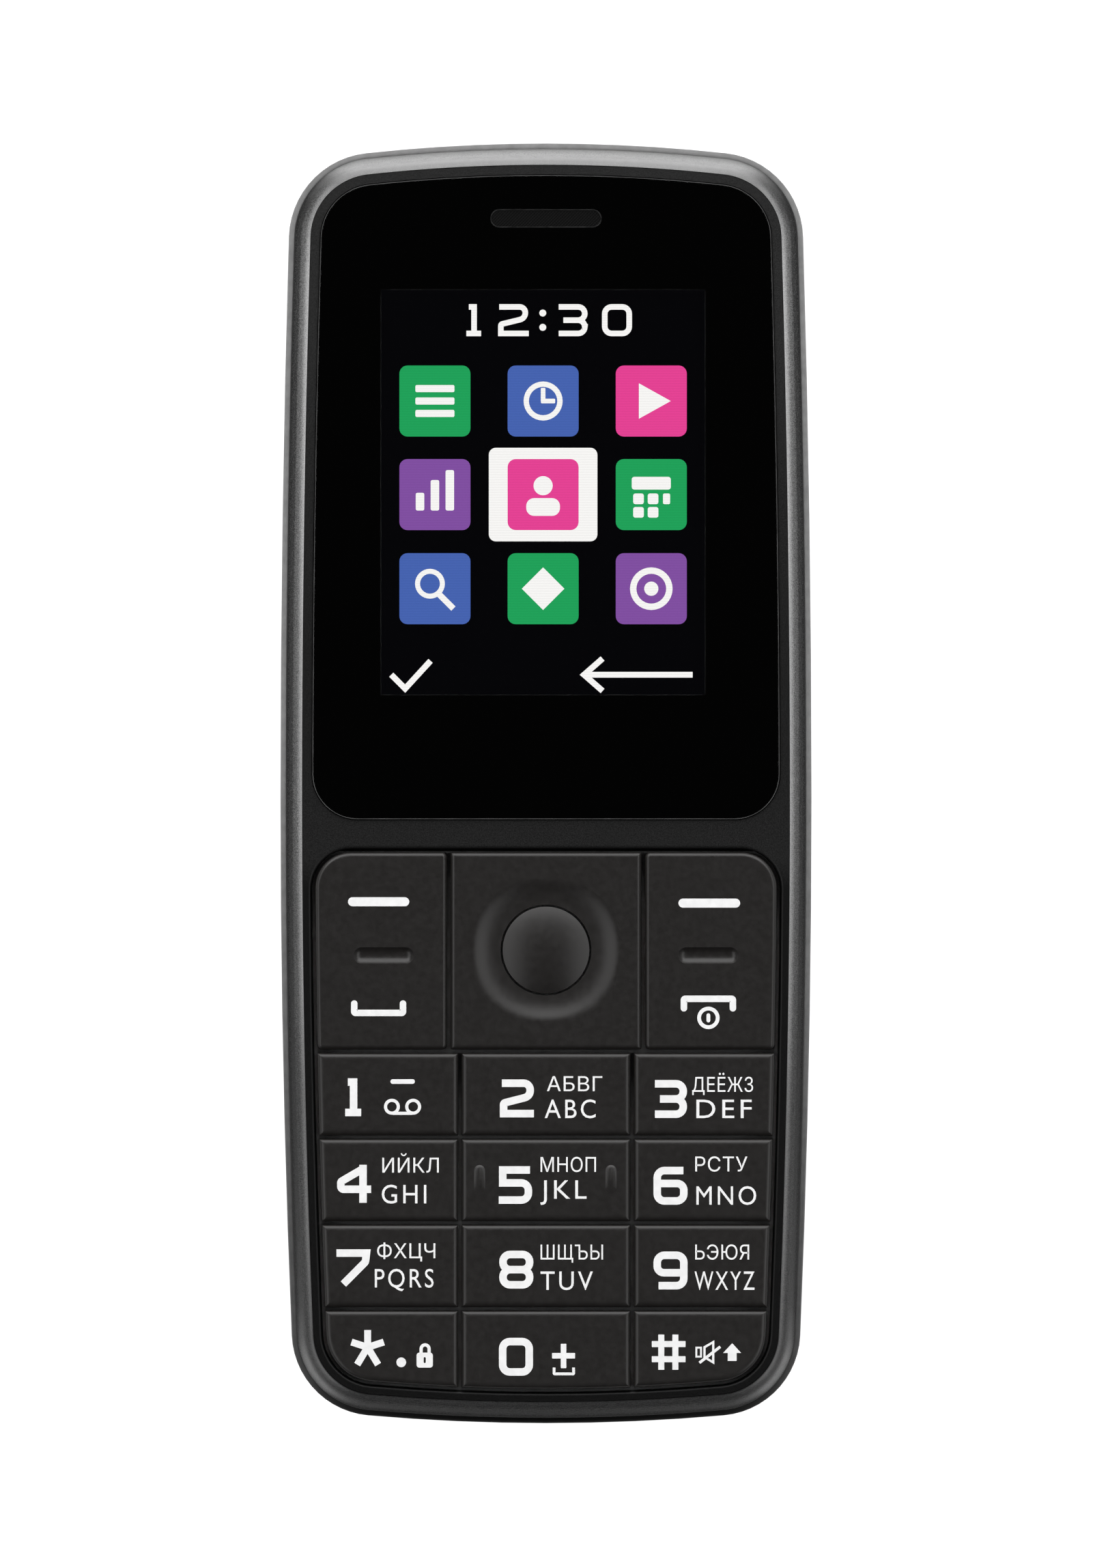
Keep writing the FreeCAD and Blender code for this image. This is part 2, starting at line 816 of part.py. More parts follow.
def shield_can():
    # a folded lid, open towards the board, that ends behind the headphone socket
    top = board_top_z + shield_height
    shield_y = jack_front_y() - jack_length - shield_setback - shield_length / 2
    lid = block(0, shield_y, board_top_z, top, shield_width, shield_length)
    room = block(0, shield_y, board_top_z - over, top - shield_wall, shield_width - 2 * shield_wall,
                 shield_length - 2 * shield_wall)
    return lid.cut(room)


def rf_shield():
    low = board_z - rf_shield_height
    lid = block(rf_shield_x, rf_shield_y, low, board_z, rf_shield_width, rf_shield_length)
    room = block(rf_shield_x, rf_shield_y, low + shield_wall, board_z + over,
                 rf_shield_width - 2 * shield_wall, rf_shield_length - 2 * shield_wall)
    return lid.cut(room)


def card_holder(x, y, width, length):
    # a folded metal cage on the back of the board: the card slides in along Y
    low = board_z - holder_height
    cage = block(x, y, low, board_z, width, length)
    slot = block(x, y - holder_sheet, low + holder_sheet, board_z - holder_sheet,
                 width - 2 * holder_sheet, length)
    window = block(x, y - holder_window_shift, low - over, low + 2 * holder_sheet, holder_window_width,
                   holder_window_length)
    return cage.cut([slot, window])


def battery_connector():
    low = board_z - connector_height
    y = cavity_low_y + connector_length / 2
    body = block(0, y, low, board_z, connector_width, connector_length)
    blades = []
    reach = bay_wall
    for index in range(contact_count):
        x = contact_pitch * (index - (contact_count - 1) / 2)
        blade = block(x, cavity_low_y - reach / 2, low + contact_foot, bay_top_z - contact_drop,
                      contact_width, reach)
        across = [e for e in blade.Edges if e.BoundBox.XLength > e.BoundBox.YLength + e.BoundBox.ZLength]
        tips = [e for e in across if e.BoundBox.YMax < cavity_low_y - reach / 2]
        blades.append(blade.makeFillet(contact_rounding, tips))
    return body.fuse(blades)


def battery():
    top = battery_z + battery_thickness
    cell = rounded_block(0, battery_y, battery_z, top, battery_width, battery_length, battery_rounding)
    cell = cell.makeFillet(battery_edge, edges_at(cell, battery_z) + edges_at(cell, top))
    # the sunk contact pads at the end that meets the connector
    end_y = battery_y + battery_length / 2
    pads = []
    for index in range(contact_count):
        x = contact_pitch * (index - (contact_count - 1) / 2)
        pads.append(block(x, end_y, battery_z + terminal_low, top - terminal_high,
                          contact_width + 2 * terminal_margin, 2 * terminal_depth))
    return cell.cut(pads)


def usb_socket():
    width, height = usb_outer(0)
    front = usb_front_y()
    shell = block(usb_x, front - usb_length / 2, socket_z - height / 2, socket_z + height / 2,
                  width, usb_length)
    mouth = usb_mouth(0, usb_length)
    back = front - usb_length + usb_back_wall
    mouth.translate(Vector(usb_x, back, socket_z))
    tongue_y = back + usb_tongue_length / 2
    tongue = block(usb_x, tongue_y, socket_z - usb_tongue_height / 2, socket_z + usb_tongue_height / 2,
                   usb_tongue_width, usb_tongue_length)
    return shell.cut(mouth).fuse(tongue)


def audio_jack():
    front = jack_front_y()
    body = block(jack_x, front - jack_length / 2, socket_z - jack_height / 2, socket_z + jack_height / 2,
                 jack_width, jack_length)
    mouth = Vector(jack_x, front + over, socket_z)
    bore = Part.makeCylinder(jack_bore_radius, jack_bore_depth + over, mouth, Vector(0, -1, 0))
    return body.cut(bore)


def camera_module():
    low = board_z - camera_body_height
    body = block(0, camera_y, low, board_z, camera_size, camera_size)
    barrel = post(0, camera_y, pod_floor_z + slip_gap, low, barrel_radius)
    lens = post(0, camera_y, pod_floor_z, pod_floor_z + slip_gap + lens_recess, barrel_radius - lens_rim)
    return body.fuse(barrel).cut(lens)


def camera_window():
    low = turret_recess + seat_gap
    pane = post(0, camera_y, low, turret_recess + camera_window_thickness, camera_window_radius)
    return pane.makeChamfer(pane_chamfer, edges_at(pane, low))


def loudspeaker_mesh():
    low = pod_floor_z
    return rounded_block(0, speaker_y, low, low + grille_mesh_thickness, speaker_width - 2 * mesh_margin,
                         speaker_length - 2 * mesh_margin, speaker_corner)


def loudspeaker():
    low = pod_floor_z + grille_mesh_thickness
    high = low + speaker_thickness
    body = rounded_block(0, speaker_y, low, high, speaker_width, speaker_length, speaker_corner)
    magnet = rounded_block(0, speaker_y, high, high + magnet_height, magnet_width, magnet_length,
                           magnet_corner)
    cone = stadium(0, speaker_y, low - over, low + cone_depth, speaker_width - 2 * cone_margin,
                   speaker_length - 2 * cone_margin)
    return body.fuse(magnet).cut(cone)


def vibration_motor():
    can_body = post(motor_x, motor_y, board_z - motor_thickness, board_z, motor_radius)
    return can_body.makeFillet(motor_rounding, edges_at(can_body, board_z - motor_thickness))


def microphone():
    body = post(microphone_x, microphone_y, board_z - microphone_thickness, board_z, microphone_radius)
    low = board_z - microphone_thickness
    port = post(microphone_x, microphone_y, low - over, low + microphone_port_depth, microphone_hole_radius)
    return body.cut(port)


def antenna():
    # a meandering sheet with two spring legs that stand on the board
    low = board_z - antenna_drop - antenna_sheet
    y = bay_low_y - bay_wall - lower_cavity_length / 2
    sheet = block(antenna_x, y, low, low + antenna_sheet, antenna_width, antenna_length)
    slots = []
    pitch = antenna_width / (antenna_slots + 1)
    for index in range(antenna_slots):
        x = antenna_x + pitch * (index - (antenna_slots - 1) / 2)
        shift = antenna_slot if index % 2 else -antenna_slot
        slots.append(block(x, y + shift, low - over, low + antenna_sheet + over, antenna_slot,
                           antenna_length))
    legs = []
    for side in (-1, 1):
        x = antenna_x + side * (antenna_width - antenna_leg) / 2
        legs.append(block(x, y, low, board_z, antenna_leg, antenna_leg))
    return sheet.cut(slots).fuse(legs)


def plunger_places():
    # every spot of the board that a key presses
    places = []
    for row in range(4):
        low = key_rows_y[row] - row_pitch
        y = (key_rows_y[row] + low) / 2
        for column in range(3):
            places.append((key_center_x(column), y))
    for side in (-1, 1):
        for way in (-1, 1):
            places.append((side * dip_x, dip_y + way * rocker_plunger_spread))
    return places


def pad_plunger_places():
    reach = pad_plunger_reach
    return [(reach, pad_y), (-reach, pad_y), (0, pad_y + reach), (0, pad_y - reach)]


def key_center_x(column):
    outer = half_width - keypad_inset
    return (column - 1) * (outer + middle_half_width) / 2


def keymat():
    foot_inset = keypad_inset - key_gap + seat_gap
    top_y = keypad_top_y + key_gap - seat_gap
    corner = keypad_top_corner + key_gap - seat_gap
    mat = keypad_form(foot_inset, board_top_z, mat_top_z, top_y, corner)
    room = keypad_form(foot_inset + mat_foot_width, board_top_z - over, mat_z, top_y - mat_foot_width,
                       corner - mat_foot_width)
    holes = [post(x, y, mat_z - over, mat_top_z + over, plunger_radius + key_gap)
             for x, y in plunger_places() + pad_plunger_places()]
    holes.append(post(0, pad_y, mat_z - over, mat_top_z + over, plunger_radius + key_gap))
    return mat.cut([room] + holes)


def dome_sheet():
    top_y = keypad_top_y - (sheet_inset - keypad_inset)
    corner = keypad_top_corner - (sheet_inset - keypad_inset)
    sheet = keypad_form(sheet_inset, board_top_z, dome_sheet_top_z, top_y, corner)
    domes = []
    for x, y in plunger_places() + pad_plunger_places() + [(0, pad_y)]:
        domes.append(Part.makeCone(dome_radius, dome_top_radius, dome_height, Vector(x, y, dome_sheet_top_z)))
    return sheet.fuse(domes)


def bevel_top(solid, z, size):
    return solid.makeFillet(size, edges_at(solid, z))


def number_key(row, column):
    high_y = key_rows_y[row] - key_gap / 2
    low_y = key_rows_y[row] - row_pitch + key_gap / 2 if row < 3 else -body_length
    edge = middle_half_width
    half_gap = key_gap / 2
    side_span = (edge + half_gap, body_width)
    middle_span = (half_gap - edge, edge - half_gap)
    left, right = [(-side_span[1], -side_span[0]), middle_span, side_span][column]
    cell = block((left + right) / 2, (low_y + high_y) / 2, key_z, key_top_z, right - left, high_y - low_y)
    cap = prism(keypad_inset, key_z, key_top_z).common(cell)

    def on_cell(x, y):
        across = min(abs(x - left), abs(x - right)) < 1e-3
        along = min(abs(y - low_y), abs(y - high_y)) < 1e-3
        return across or along

    cap = cap.makeFillet(key_corner, upright_edges(cap, on_cell))
    cap = bevel_top(cap, key_top_z, key_bevel)
    y = key_rows_y[row] - row_pitch / 2
    cap = cap.fuse(post(key_center_x(column), y, plunger_z, key_z, plunger_radius))
    if key_names[row][column] == "5":
        cap = cap.fuse(touch_marks(y))
    return cap


def touch_marks(y):
    # two raised arches that a finger finds without looking
    marks = []
    low = key_top_z - mark_root
    high = key_top_z + mark_height
    inner_width = mark_width - 2 * mark_stroke
    leg = mark_length - mark_width / 2
    leg_y = y + mark_y_offset - mark_width / 4
    arch_y = y + mark_y_offset + (mark_length - mark_width) / 2
    for side in (-1, 1):
        x = side * mark_x
        outer = post(x, arch_y, low, high, mark_width / 2)
        outer = outer.fuse(block(x, leg_y, low, high, mark_width, leg))
        inner = post(x, arch_y, low - over, high + over, inner_width / 2)
        inner = inner.fuse(block(x, leg_y - over / 2, low - over, high + over, inner_width, leg + over))
        marks.append(outer.cut(inner))
    return marks


def rocker(side):
    # soft key above, call or end key below, and a dip between them
    inner = side * (nav_half_width + key_gap / 2)
    outer = side * body_width
    low_y = nav_row_bottom_y + key_gap / 2
    cell = block((inner + outer) / 2, (low_y + keypad_top_y) / 2, key_z, key_top_z, abs(outer - inner),
                 keypad_top_y - low_y)
    cap = prism(keypad_inset, key_z, key_top_z).common(cell)
    shoulder = upright_edges(cap, lambda x, y: abs(y - keypad_top_y) < 1e-3 and abs(x - inner) > over)
    cap = cap.makeFillet(keypad_top_corner, shoulder)
    small = upright_edges(cap, lambda x, y: abs(x - inner) < 1e-3 or abs(y - low_y) < 1e-3)
    cap = cap.makeFillet(nav_corner, small)
    cap = bevel_top(cap, key_top_z, key_bevel)
    center_z = key_top_z + dip_radius - dip_depth
    reach = dip_length / 2 - dip_radius
    tips = [Vector(side * dip_x + way * reach, dip_y, center_z) for way in (-1, 1)]
    dip = Part.makeCylinder(dip_radius, 2 * reach, tips[0], Vector(1, 0, 0))
    ends = [Part.makeSphere(dip_radius, tip) for tip in tips]
    plungers = [post(side * dip_x, dip_y + way * rocker_plunger_spread, plunger_z, key_z, plunger_radius)
                for way in (-1, 1)]
    return cap.cut(dip.fuse(ends)).fuse(plungers)


def dish_radius():
    half = dish_diameter / 2
    return (half**2 + dish_depth**2) / (2 * dish_depth)


def nav_pad():
    low_y = nav_row_bottom_y + key_gap / 2
    width = 2 * nav_half_width - key_gap
    length = keypad_top_y - low_y
    tile = rounded_block(0, (keypad_top_y + low_y) / 2, pad_z, key_top_z, width, length, nav_corner)
    tile = bevel_top(tile, key_top_z, key_bevel)
    radius = dish_radius()
    bowl = Part.makeSphere(radius, Vector(0, pad_y, key_top_z + radius - dish_depth))
    hole = post(0, pad_y, pad_z - over, key_top_z + over, ok_diameter / 2 + ok_gap)
    return tile.cut([bowl, hole])


def nav_actuator():
    # the plate under the pad that carries its four plungers
    plate = rounded_block(0, pad_y, key_z, key_z + actuator_thickness, actuator_width, actuator_width,
                          actuator_corner)
    plate = plate.cut(post(0, pad_y, key_z - over, pad_z, ok_diameter / 2 + ok_gap))
    plungers = [post(x, y, plunger_z, key_z, plunger_radius) for x, y in pad_plunger_places()]
    return plate.fuse(plungers)


def ok_button():
    # a cylinder under a spherical crown that starts just above the dish
    half = ok_diameter / 2
    top = key_top_z + ok_proud
    edge_z = top - ok_edge_drop
    crown_radius = (half**2 + ok_edge_drop**2) / (2 * ok_edge_drop)
    stem = post(0, pad_y, key_z, top, half)
    crown = Part.makeSphere(crown_radius, Vector(0, pad_y, top - crown_radius))
    body = stem.common(crown)
    return body.fuse(post(0, pad_y, plunger_z, key_z, plunger_radius))


def sub_parts():
    parts = {
        "battery_cover": battery_cover(),
        "battery": battery(),
        "rear_housing": rear_housing(),
        "front_ring": front_ring(),
        "front_housing": front_housing(),
        "housing_screws": housing_screws(),
        "display_window": display_window(),
        "window_gasket": window_gasket(),
        "display_module": display_module(),
        "display_flex": display_flex(),
        "earpiece": earpiece(),
        "earpiece_mesh": earpiece_mesh(),
        "main_board": main_board(),
        "shield_can": shield_can(),
        "rf_shield": rf_shield(),
        "sim_holder_1": card_holder(-sim_x, sim_y, sim_width, sim_length),
        "sim_holder_2": card_holder(sim_x, sim_y, sim_width, sim_length),
        "memory_card_holder": card_holder(0, card_holder_y, card_holder_width, card_holder_length),
        "battery_connector": battery_connector(),
        "usb_socket": usb_socket(),
        "audio_jack": audio_jack(),
        "camera_module": camera_module(),
        "camera_window": camera_window(),
        "loudspeaker": loudspeaker(),
        "loudspeaker_mesh": loudspeaker_mesh(),
        "vibration_motor": vibration_motor(),
        "microphone": microphone(),
        "antenna": antenna(),
        "keymat": keymat(),
        "dome_sheet": dome_sheet(),
        "left_rocker": rocker(-1),
        "right_rocker": rocker(1),
        "nav_pad": nav_pad(),
        "nav_actuator": nav_actuator(),
        "ok_button": ok_button(),
    }
    for row, names in enumerate(key_names):
        for column, name in enumerate(names):
            parts["key_" + name] = number_key(row, column)
    return parts


def main():
    os.makedirs("parts", exist_ok=True)
    for name, shape in sub_parts().items():
        print(name, len(shape.Solids), shape.isValid(), round(shape.Volume, 1))
        shape.exportStep("parts/" + name + ".step")


main()
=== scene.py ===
import math
from itertools import repeat

import bmesh
import bpy
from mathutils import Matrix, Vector
from mathutils.geometry import delaunay_2d_cdt


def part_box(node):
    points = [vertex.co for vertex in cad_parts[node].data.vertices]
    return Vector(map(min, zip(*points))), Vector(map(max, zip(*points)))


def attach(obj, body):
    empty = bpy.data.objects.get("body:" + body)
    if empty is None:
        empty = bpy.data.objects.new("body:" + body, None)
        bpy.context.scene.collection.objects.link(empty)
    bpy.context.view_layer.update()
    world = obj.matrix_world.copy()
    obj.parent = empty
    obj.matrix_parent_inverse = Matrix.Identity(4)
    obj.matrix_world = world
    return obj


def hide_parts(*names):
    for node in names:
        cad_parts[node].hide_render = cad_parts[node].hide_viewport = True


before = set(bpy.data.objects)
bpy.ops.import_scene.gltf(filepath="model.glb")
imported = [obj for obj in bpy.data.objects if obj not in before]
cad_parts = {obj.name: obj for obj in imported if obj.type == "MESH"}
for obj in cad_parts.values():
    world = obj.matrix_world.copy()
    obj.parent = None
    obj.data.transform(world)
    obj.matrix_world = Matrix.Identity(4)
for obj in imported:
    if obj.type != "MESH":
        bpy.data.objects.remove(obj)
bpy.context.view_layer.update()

# A mobile phone on its back: +X to the right of the screen, +Y to the earpiece, +Z out of the screen.
# Shapes are worked out in millimetres and become metres when a mesh is made.
mm = 0.001
# a length in millimetres that never shows, a share too small to divide by, and the weld's reach in metres
hair = 0.001
tiny = 1e-9
weld = 1e-7


def nodeBox(name):
    low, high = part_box(name)
    return Vector(low) / mm, Vector(high) / mm


def unit(turn):
    return Vector((math.cos(turn), math.sin(turn)))


def plainName(words):
    # names_like_this as namesLikeThis
    first, *rest = words.split("_")
    return first + "".join(word.capitalize() for word in rest)


# Colours


def tone(red, green, blue):
    # a colour as a picture shows it, from 0 to 255, as the shader takes it
    def straight(value):
        share = value / 255
        return share / 12.92 if share <= 0.04045 else ((share + 0.055) / 1.055) ** 2.4

    return (straight(red), straight(green), straight(blue), 1.0)


def grey(value):
    return tone(value, value, value)


# Materials


class Wire:
    # an output socket: sums on it add Math nodes, add() puts any other node behind it
    def __init__(self, socket):
        self.socket = socket

    def add(self, kind, settings=None, inputs=None, output=0):
        tree = self.socket.id_data
        node = tree.nodes.new("ShaderNode" + kind)
        for name, value in (settings or {}).items():
            if name == "stops":
                setStops(node.color_ramp, value)
            else:
                setattr(node, name, value)
        for name, value in (inputs or {}).items():
            if isinstance(value, Wire):
                tree.links.new(value.socket, node.inputs[name])
            else:
                node.inputs[name].default_value = value
        return Wire(node.outputs[output]) if node.outputs else None

    def math(self, operation, left, right):
        return self.add("Math", {"operation": operation}, {0: left, 1: right})

    def __add__(self, other):
        return self.math("ADD", self, other)

    __radd__ = __add__

    def __mul__(self, other):
        return self.math("MULTIPLY", self, other)

    __rmul__ = __mul__

    def __sub__(self, other):
        return self.math("SUBTRACT", self, other)

    def __rsub__(self, other):
        return self.math("SUBTRACT", other, self)


def setStops(ramp, stops):
    while len(ramp.elements) < len(stops):
        ramp.elements.new(0.5)
    for element, (position, value) in zip(ramp.elements, stops):
        element.position = position
        element.color = (value, value, value, 1.0)


def finish(name, build):
    # build gets the object's own coordinates and returns the shader
    material = bpy.data.materials.new(name)
    material.use_nodes = True
    material.node_tree.nodes.clear()
    place = Wire(material.node_tree.nodes.new("ShaderNodeTexCoord").outputs["Object"])
    place.add("OutputMaterial", None, {"Surface": build(place)})
    return material


def speckle(place, size, detail=2.0):
    # noise whose blots are about size millimetres across
    return place.add("TexNoise", None, {"Vector": place, "Scale": 1 / (size * mm), "Detail": detail})


def blend(place, first, second, mask):
    return place.add("Mix", {"data_type": "RGBA"}, {0: mask, 6: first, 7: second}, output=2)


def contrast(mask, low, high):
    return mask.add("ValToRGB", {"stops": [(low, 0.0), (high, 1.0)]}, {"Fac": mask})


def relief(height, depth):
    # a bump as deep as depth millimetres where height is 1
    return height.add("Bump", None, {"Height": height, "Distance": depth * mm, "Strength": 1.0})


def mottled(place, size, low=0.3, high=0.7):
    # noise drawn out into light and dark blots
    return contrast(speckle(place, size, 3.0), low, high)


def part(place, axis):
    return place.add("SeparateXYZ", None, {"Vector": place}, output="XYZ".index(axis))


def fade(value, start, stop):
    # 0 up to start and 1 from stop on, both in millimetres; start may be the larger one
    share = (value - start * mm) * (1 / ((stop - start) * mm))
    return share.add("Clamp", None, {"Value": share})


def toned(value, stops):
    # a grey that follows value: each stop is a place in millimetres and a tone from 0 to 255
    low = stops[0][0]
    span = stops[-1][0] - low
    share = (value - low * mm) * (1 / (span * mm))
    scaled = [((spot - low) / span, grey(shade)[0]) for spot, shade in stops]
    return share.add("ValToRGB", {"stops": scaled}, {"Fac": share})


def flaked(place, colour, mask, spread):
    # the colour made darker and lighter by up to half of spread
    factor = mask * spread + (1 - spread / 2)
    return place.add("VectorMath", {"operation": "SCALE"}, {"Vector": colour, "Scale": factor})


def moulded(look):
    # plastic, lacquer or plain metal: mottled colour, uneven gloss and a fine grain
    def build(place):
        mottle = mottled(place, look["patch"])
        uneven = look.get("uneven", 0.1)
        gloss = look["gloss"] + (mottle - 0.5) * uneven if uneven else look["gloss"]
        # painted light and shade: with along, the colour of the band and of the frame follows tones along
        # the phone
        if "along" in look:
            colour = flaked(place, toned(part(place, "Y"), look["along"]), mottle, look["spread"])
        else:
            colour = blend(place, look["dark"], look["light"], mottle)
        # painted shadow: from a given place along the phone on, the colour turns to the rim colour
        if "rim" in look:
            colour = blend(place, colour, look["rim"], fade(part(place, "Y"), *look["rimAt"]))
        if "dull" in look:
            gloss += fade(part(place, "Y"), *look["dullAt"]) * look["dull"]
        return place.add("BsdfPrincipled", None, {
            "Base Color": colour,
            "Roughness": gloss,
            "Metallic": look.get("metal", 0.0),
            "Specular IOR Level": look.get("sheen", 0.5),
            "Normal": relief(speckle(place, look["grain"]), look["depth"]),
        })

    return build


# patch, grain and depth are the sizes in millimetres of the blots, of the grain and of its relief
plastics = {
    "coverPlastic": dict(dark=grey(34), light=grey(40), patch=3.0, grain=0.16, depth=0.02, gloss=0.55,
                         uneven=0.08),
    "keyPlastic": dict(dark=tone(27, 25, 24), light=tone(31, 29, 28), patch=0.5, grain=0.09, depth=0.002,
                       gloss=0.36, uneven=0.05),
    "legendPrint": dict(dark=grey(237), light=grey(246), patch=0.6, grain=0.08, depth=0.001, gloss=0.5),
    "batteryWrap": dict(dark=tone(62, 64, 68), light=tone(74, 76, 80), patch=4.0, grain=0.3, depth=0.004,
                        gloss=0.38, uneven=0.08),
    "blackMoulding": dict(dark=grey(20), light=grey(30), patch=0.8, grain=0.12, depth=0.008, gloss=0.55),
    "foamTape": dict(dark=grey(24), light=grey(34), patch=0.5, grain=0.08, depth=0.02, gloss=0.8),
    "filmCopper": dict(dark=tone(172, 112, 48), light=tone(196, 134, 62), patch=1.4, grain=0.2, depth=0.003,
                       gloss=0.3),
    "boardLaminate": dict(dark=tone(14, 66, 40), light=tone(22, 86, 54), patch=1.6, grain=0.25, depth=0.006,
                          gloss=0.35),
    "tinnedSteel": dict(dark=grey(176), light=grey(206), patch=2.2, grain=0.2, depth=0.003, gloss=0.32,
                        uneven=0.12, metal=1.0),
    "antennaMetal": dict(dark=tone(196, 160, 96), light=tone(220, 186, 120), patch=1.2, grain=0.15,
                         depth=0.002, gloss=0.26, metal=1.0),
    "meshMetal": dict(dark=grey(30), light=grey(52), patch=0.4, grain=0.06, depth=0.002, gloss=0.4,
                      metal=0.6),
    "labelFilm": dict(dark=tone(196, 198, 202), light=tone(212, 214, 217), patch=5.0, grain=0.12,
                      depth=0.002, gloss=0.35),
    # grey of the thin strip round the window, a painted highlight along its chamfer
    "edgeLine": dict(dark=grey(58), light=grey(84), patch=1.5, grain=0.1, depth=0.001, gloss=0.5, sheen=0.2),
    "coatedLens": dict(dark=tone(10, 8, 22), light=tone(26, 16, 44), patch=1.2, grain=0.3, depth=0.0005,
                       gloss=0.08, uneven=0.04),
    "windowPrint": dict(dark=tone(35, 39, 37), light=tone(40, 44, 42), patch=2.0, grain=0.3, depth=0.001,
                        gloss=0.6, uneven=0.05),
    # pale silicone, black past the top row of keys: a painted shadow in the gap between those keys and the
    # frame
    "matRubber": dict(dark=grey(178), light=grey(192), patch=1.5, grain=0.2, depth=0.006, gloss=0.62,
                      uneven=0, rim=grey(8), rimAt=(-5.95, -5.85)),
    # lacquer with painted shade: darker towards the foot, near black at its very end, and a little darker at
    # the earpiece end; it also grows duller towards the foot
    "bandPlastic": dict(along=[(-55.5, 2), (-55, 2), (-51.5, 75), (-48, 80), (-36, 95), (5, 145), (48, 145),
                               (52, 116), (53.5, 116), (54.6, 122), (55.5, 122)],
                        spread=0.24, patch=0.8, grain=0.12, depth=0.004, gloss=0.36, uneven=0.08,
                        sheen=0.2, dull=0.4, dullAt=(-46.0, -54.5)),
    # fine spark-eroded grain; painted shade makes it near black round the keypad, and painted light makes it
    # a little greyer towards the earpiece
    "framePlastic": dict(along=[(-55.4, 2), (-9, 3), (-6.5, 24), (0, 21), (10, 20), (26, 25), (38, 33),
                                (55.4, 33)],
                         spread=0.8, patch=0.12, grain=0.1, depth=0.008, gloss=0.42, sheen=0.25),
}

# painted light and shade: tones along the phone, from the foot to the earpiece, for the wall (outer), the
# shoulder (inner) and a painted highlight on the inner edge (lip); lighter towards the earpiece and darker
# at the foot, as a lamp above the earpiece end would light the ring, with a painted highlight on the wall at
# the lower corners
ringLook = {
    "outer": [(-55.4, 60), (-54.4, 62), (-53.6, 76), (-52.3, 122), (-50, 126), (-48, 98), (-45, 77),
              (-39, 70), (-33, 64), (-20, 60), (-6, 58), (50, 57), (51.5, 84), (52.4, 110), (53.2, 158),
              (55.4, 160)],
    "inner": [(-55.4, 112), (-52.5, 108), (-50, 98), (-48, 95), (-45, 102), (-39, 112), (-27, 113),
              (-18, 134), (0, 150), (15, 158), (38, 172), (44, 172), (47, 160), (50, 120), (52, 94),
              (53, 112), (55.4, 113)],
    "lip": [(-55.4, 107), (-54, 90), (-52.5, 48), (-50, 46), (-48, 60), (-45, 70), (-39, 74), (-27, 92),
            (-18, 138), (0, 148), (20, 172), (44, 168), (48, 140), (51.5, 93), (53, 110), (55.4, 112)],
    # painted shade and highlight by height: the wall below shadeFrom takes the dark outer tones, the
    # shoulder above shadeTo the light inner ones, the lip's painted highlight starts at lipFrom, and seam is
    # painted shade low on the wall where it meets the band
    "shadeFrom": 13.16,
    "shadeTo": 13.62,
    "lipFrom": 13.7,
    "lipTo": 13.74,
    "seam": grey(12),
    "seamFrom": 11.2,
    "seamTo": 12.2,
    "flake": 0.085,
    "flakeRange": (0.35, 0.65),
    "flakeShare": 0.7,
    "flakeShade": 0.3,
    "flakeGloss": 0.12,
    "cloud": 0.5,
    "spread": 0.5,
    "metal": 0.85,
    "edge": grey(70),
    "gloss": 0.36,
    "depth": 0.003,
}


def ringPaint(place):
    # metallic lacquer with fine flakes, with painted shade down the wall, low on the wall beside the band
    # and towards the foot of the phone, and a painted highlight on the inner edge
    look = ringLook
    flakes = contrast(speckle(place, look["flake"], 1.0), *look["flakeRange"])
    mask = flakes * look["flakeShare"] + speckle(place, look["cloud"]) * (1 - look["flakeShare"])
    height = part(place, "Z")
    along = part(place, "Y")
    # painted shade on the steep wall, lighter paint on the shoulder and a painted highlight on the lip
    rise = fade(height, look["shadeFrom"], look["shadeTo"]) + (flakes - 0.5) * look["flakeShade"]
    body = blend(place, toned(along, look["outer"]), toned(along, look["inner"]), contrast(rise, 0.0, 1.0))
    body = blend(place, body, toned(along, look["lip"]), fade(height, look["lipFrom"], look["lipTo"]))
    body = flaked(place, body, mask, look["spread"])
    return place.add("BsdfPrincipled", None, {
        # painted shade low on the wall, where it meets the band
        "Base Color": blend(place, look["seam"], body, fade(height, look["seamFrom"], look["seamTo"])),
        "Metallic": look["metal"],
        "Specular Tint": look["edge"],
        "Roughness": look["gloss"] + (flakes - 0.5) * look["flakeGloss"],
        "Normal": relief(flakes, look["depth"]),
    })


meshLook = {"gap": grey(2), "wire": grey(17), "pitch": 0.27, "swing": 0.35, "second": 0.35, "depth": 0.02,
            "gloss": 0.5, "sheen": 0.08}


def woven(place):
    # fine cloth of two crossing sets of slanted wires
    look = meshLook
    turns = 2 * math.pi / (look["pitch"] * mm)
    first = place.math("SINE", (part(place, "X") - part(place, "Y")) * turns, 0.0)
    second = place.math("SINE", (part(place, "X") + part(place, "Y")) * turns, 0.0)
    height = first * look["swing"] + second * (look["swing"] * look["second"]) + 0.5
    return place.add("BsdfPrincipled", None, {
        "Base Color": blend(place, look["gap"], look["wire"], height.add("Clamp", None, {"Value": height})),
        "Roughness": look["gloss"],
        "Specular IOR Level": look["sheen"],
        "Normal": relief(height, look["depth"]),
    })


glassLook = {"tint": grey(250), "index": 1.4, "smear": 9.0, "smearRange": (0.35, 0.8), "smearGloss": 0.012}


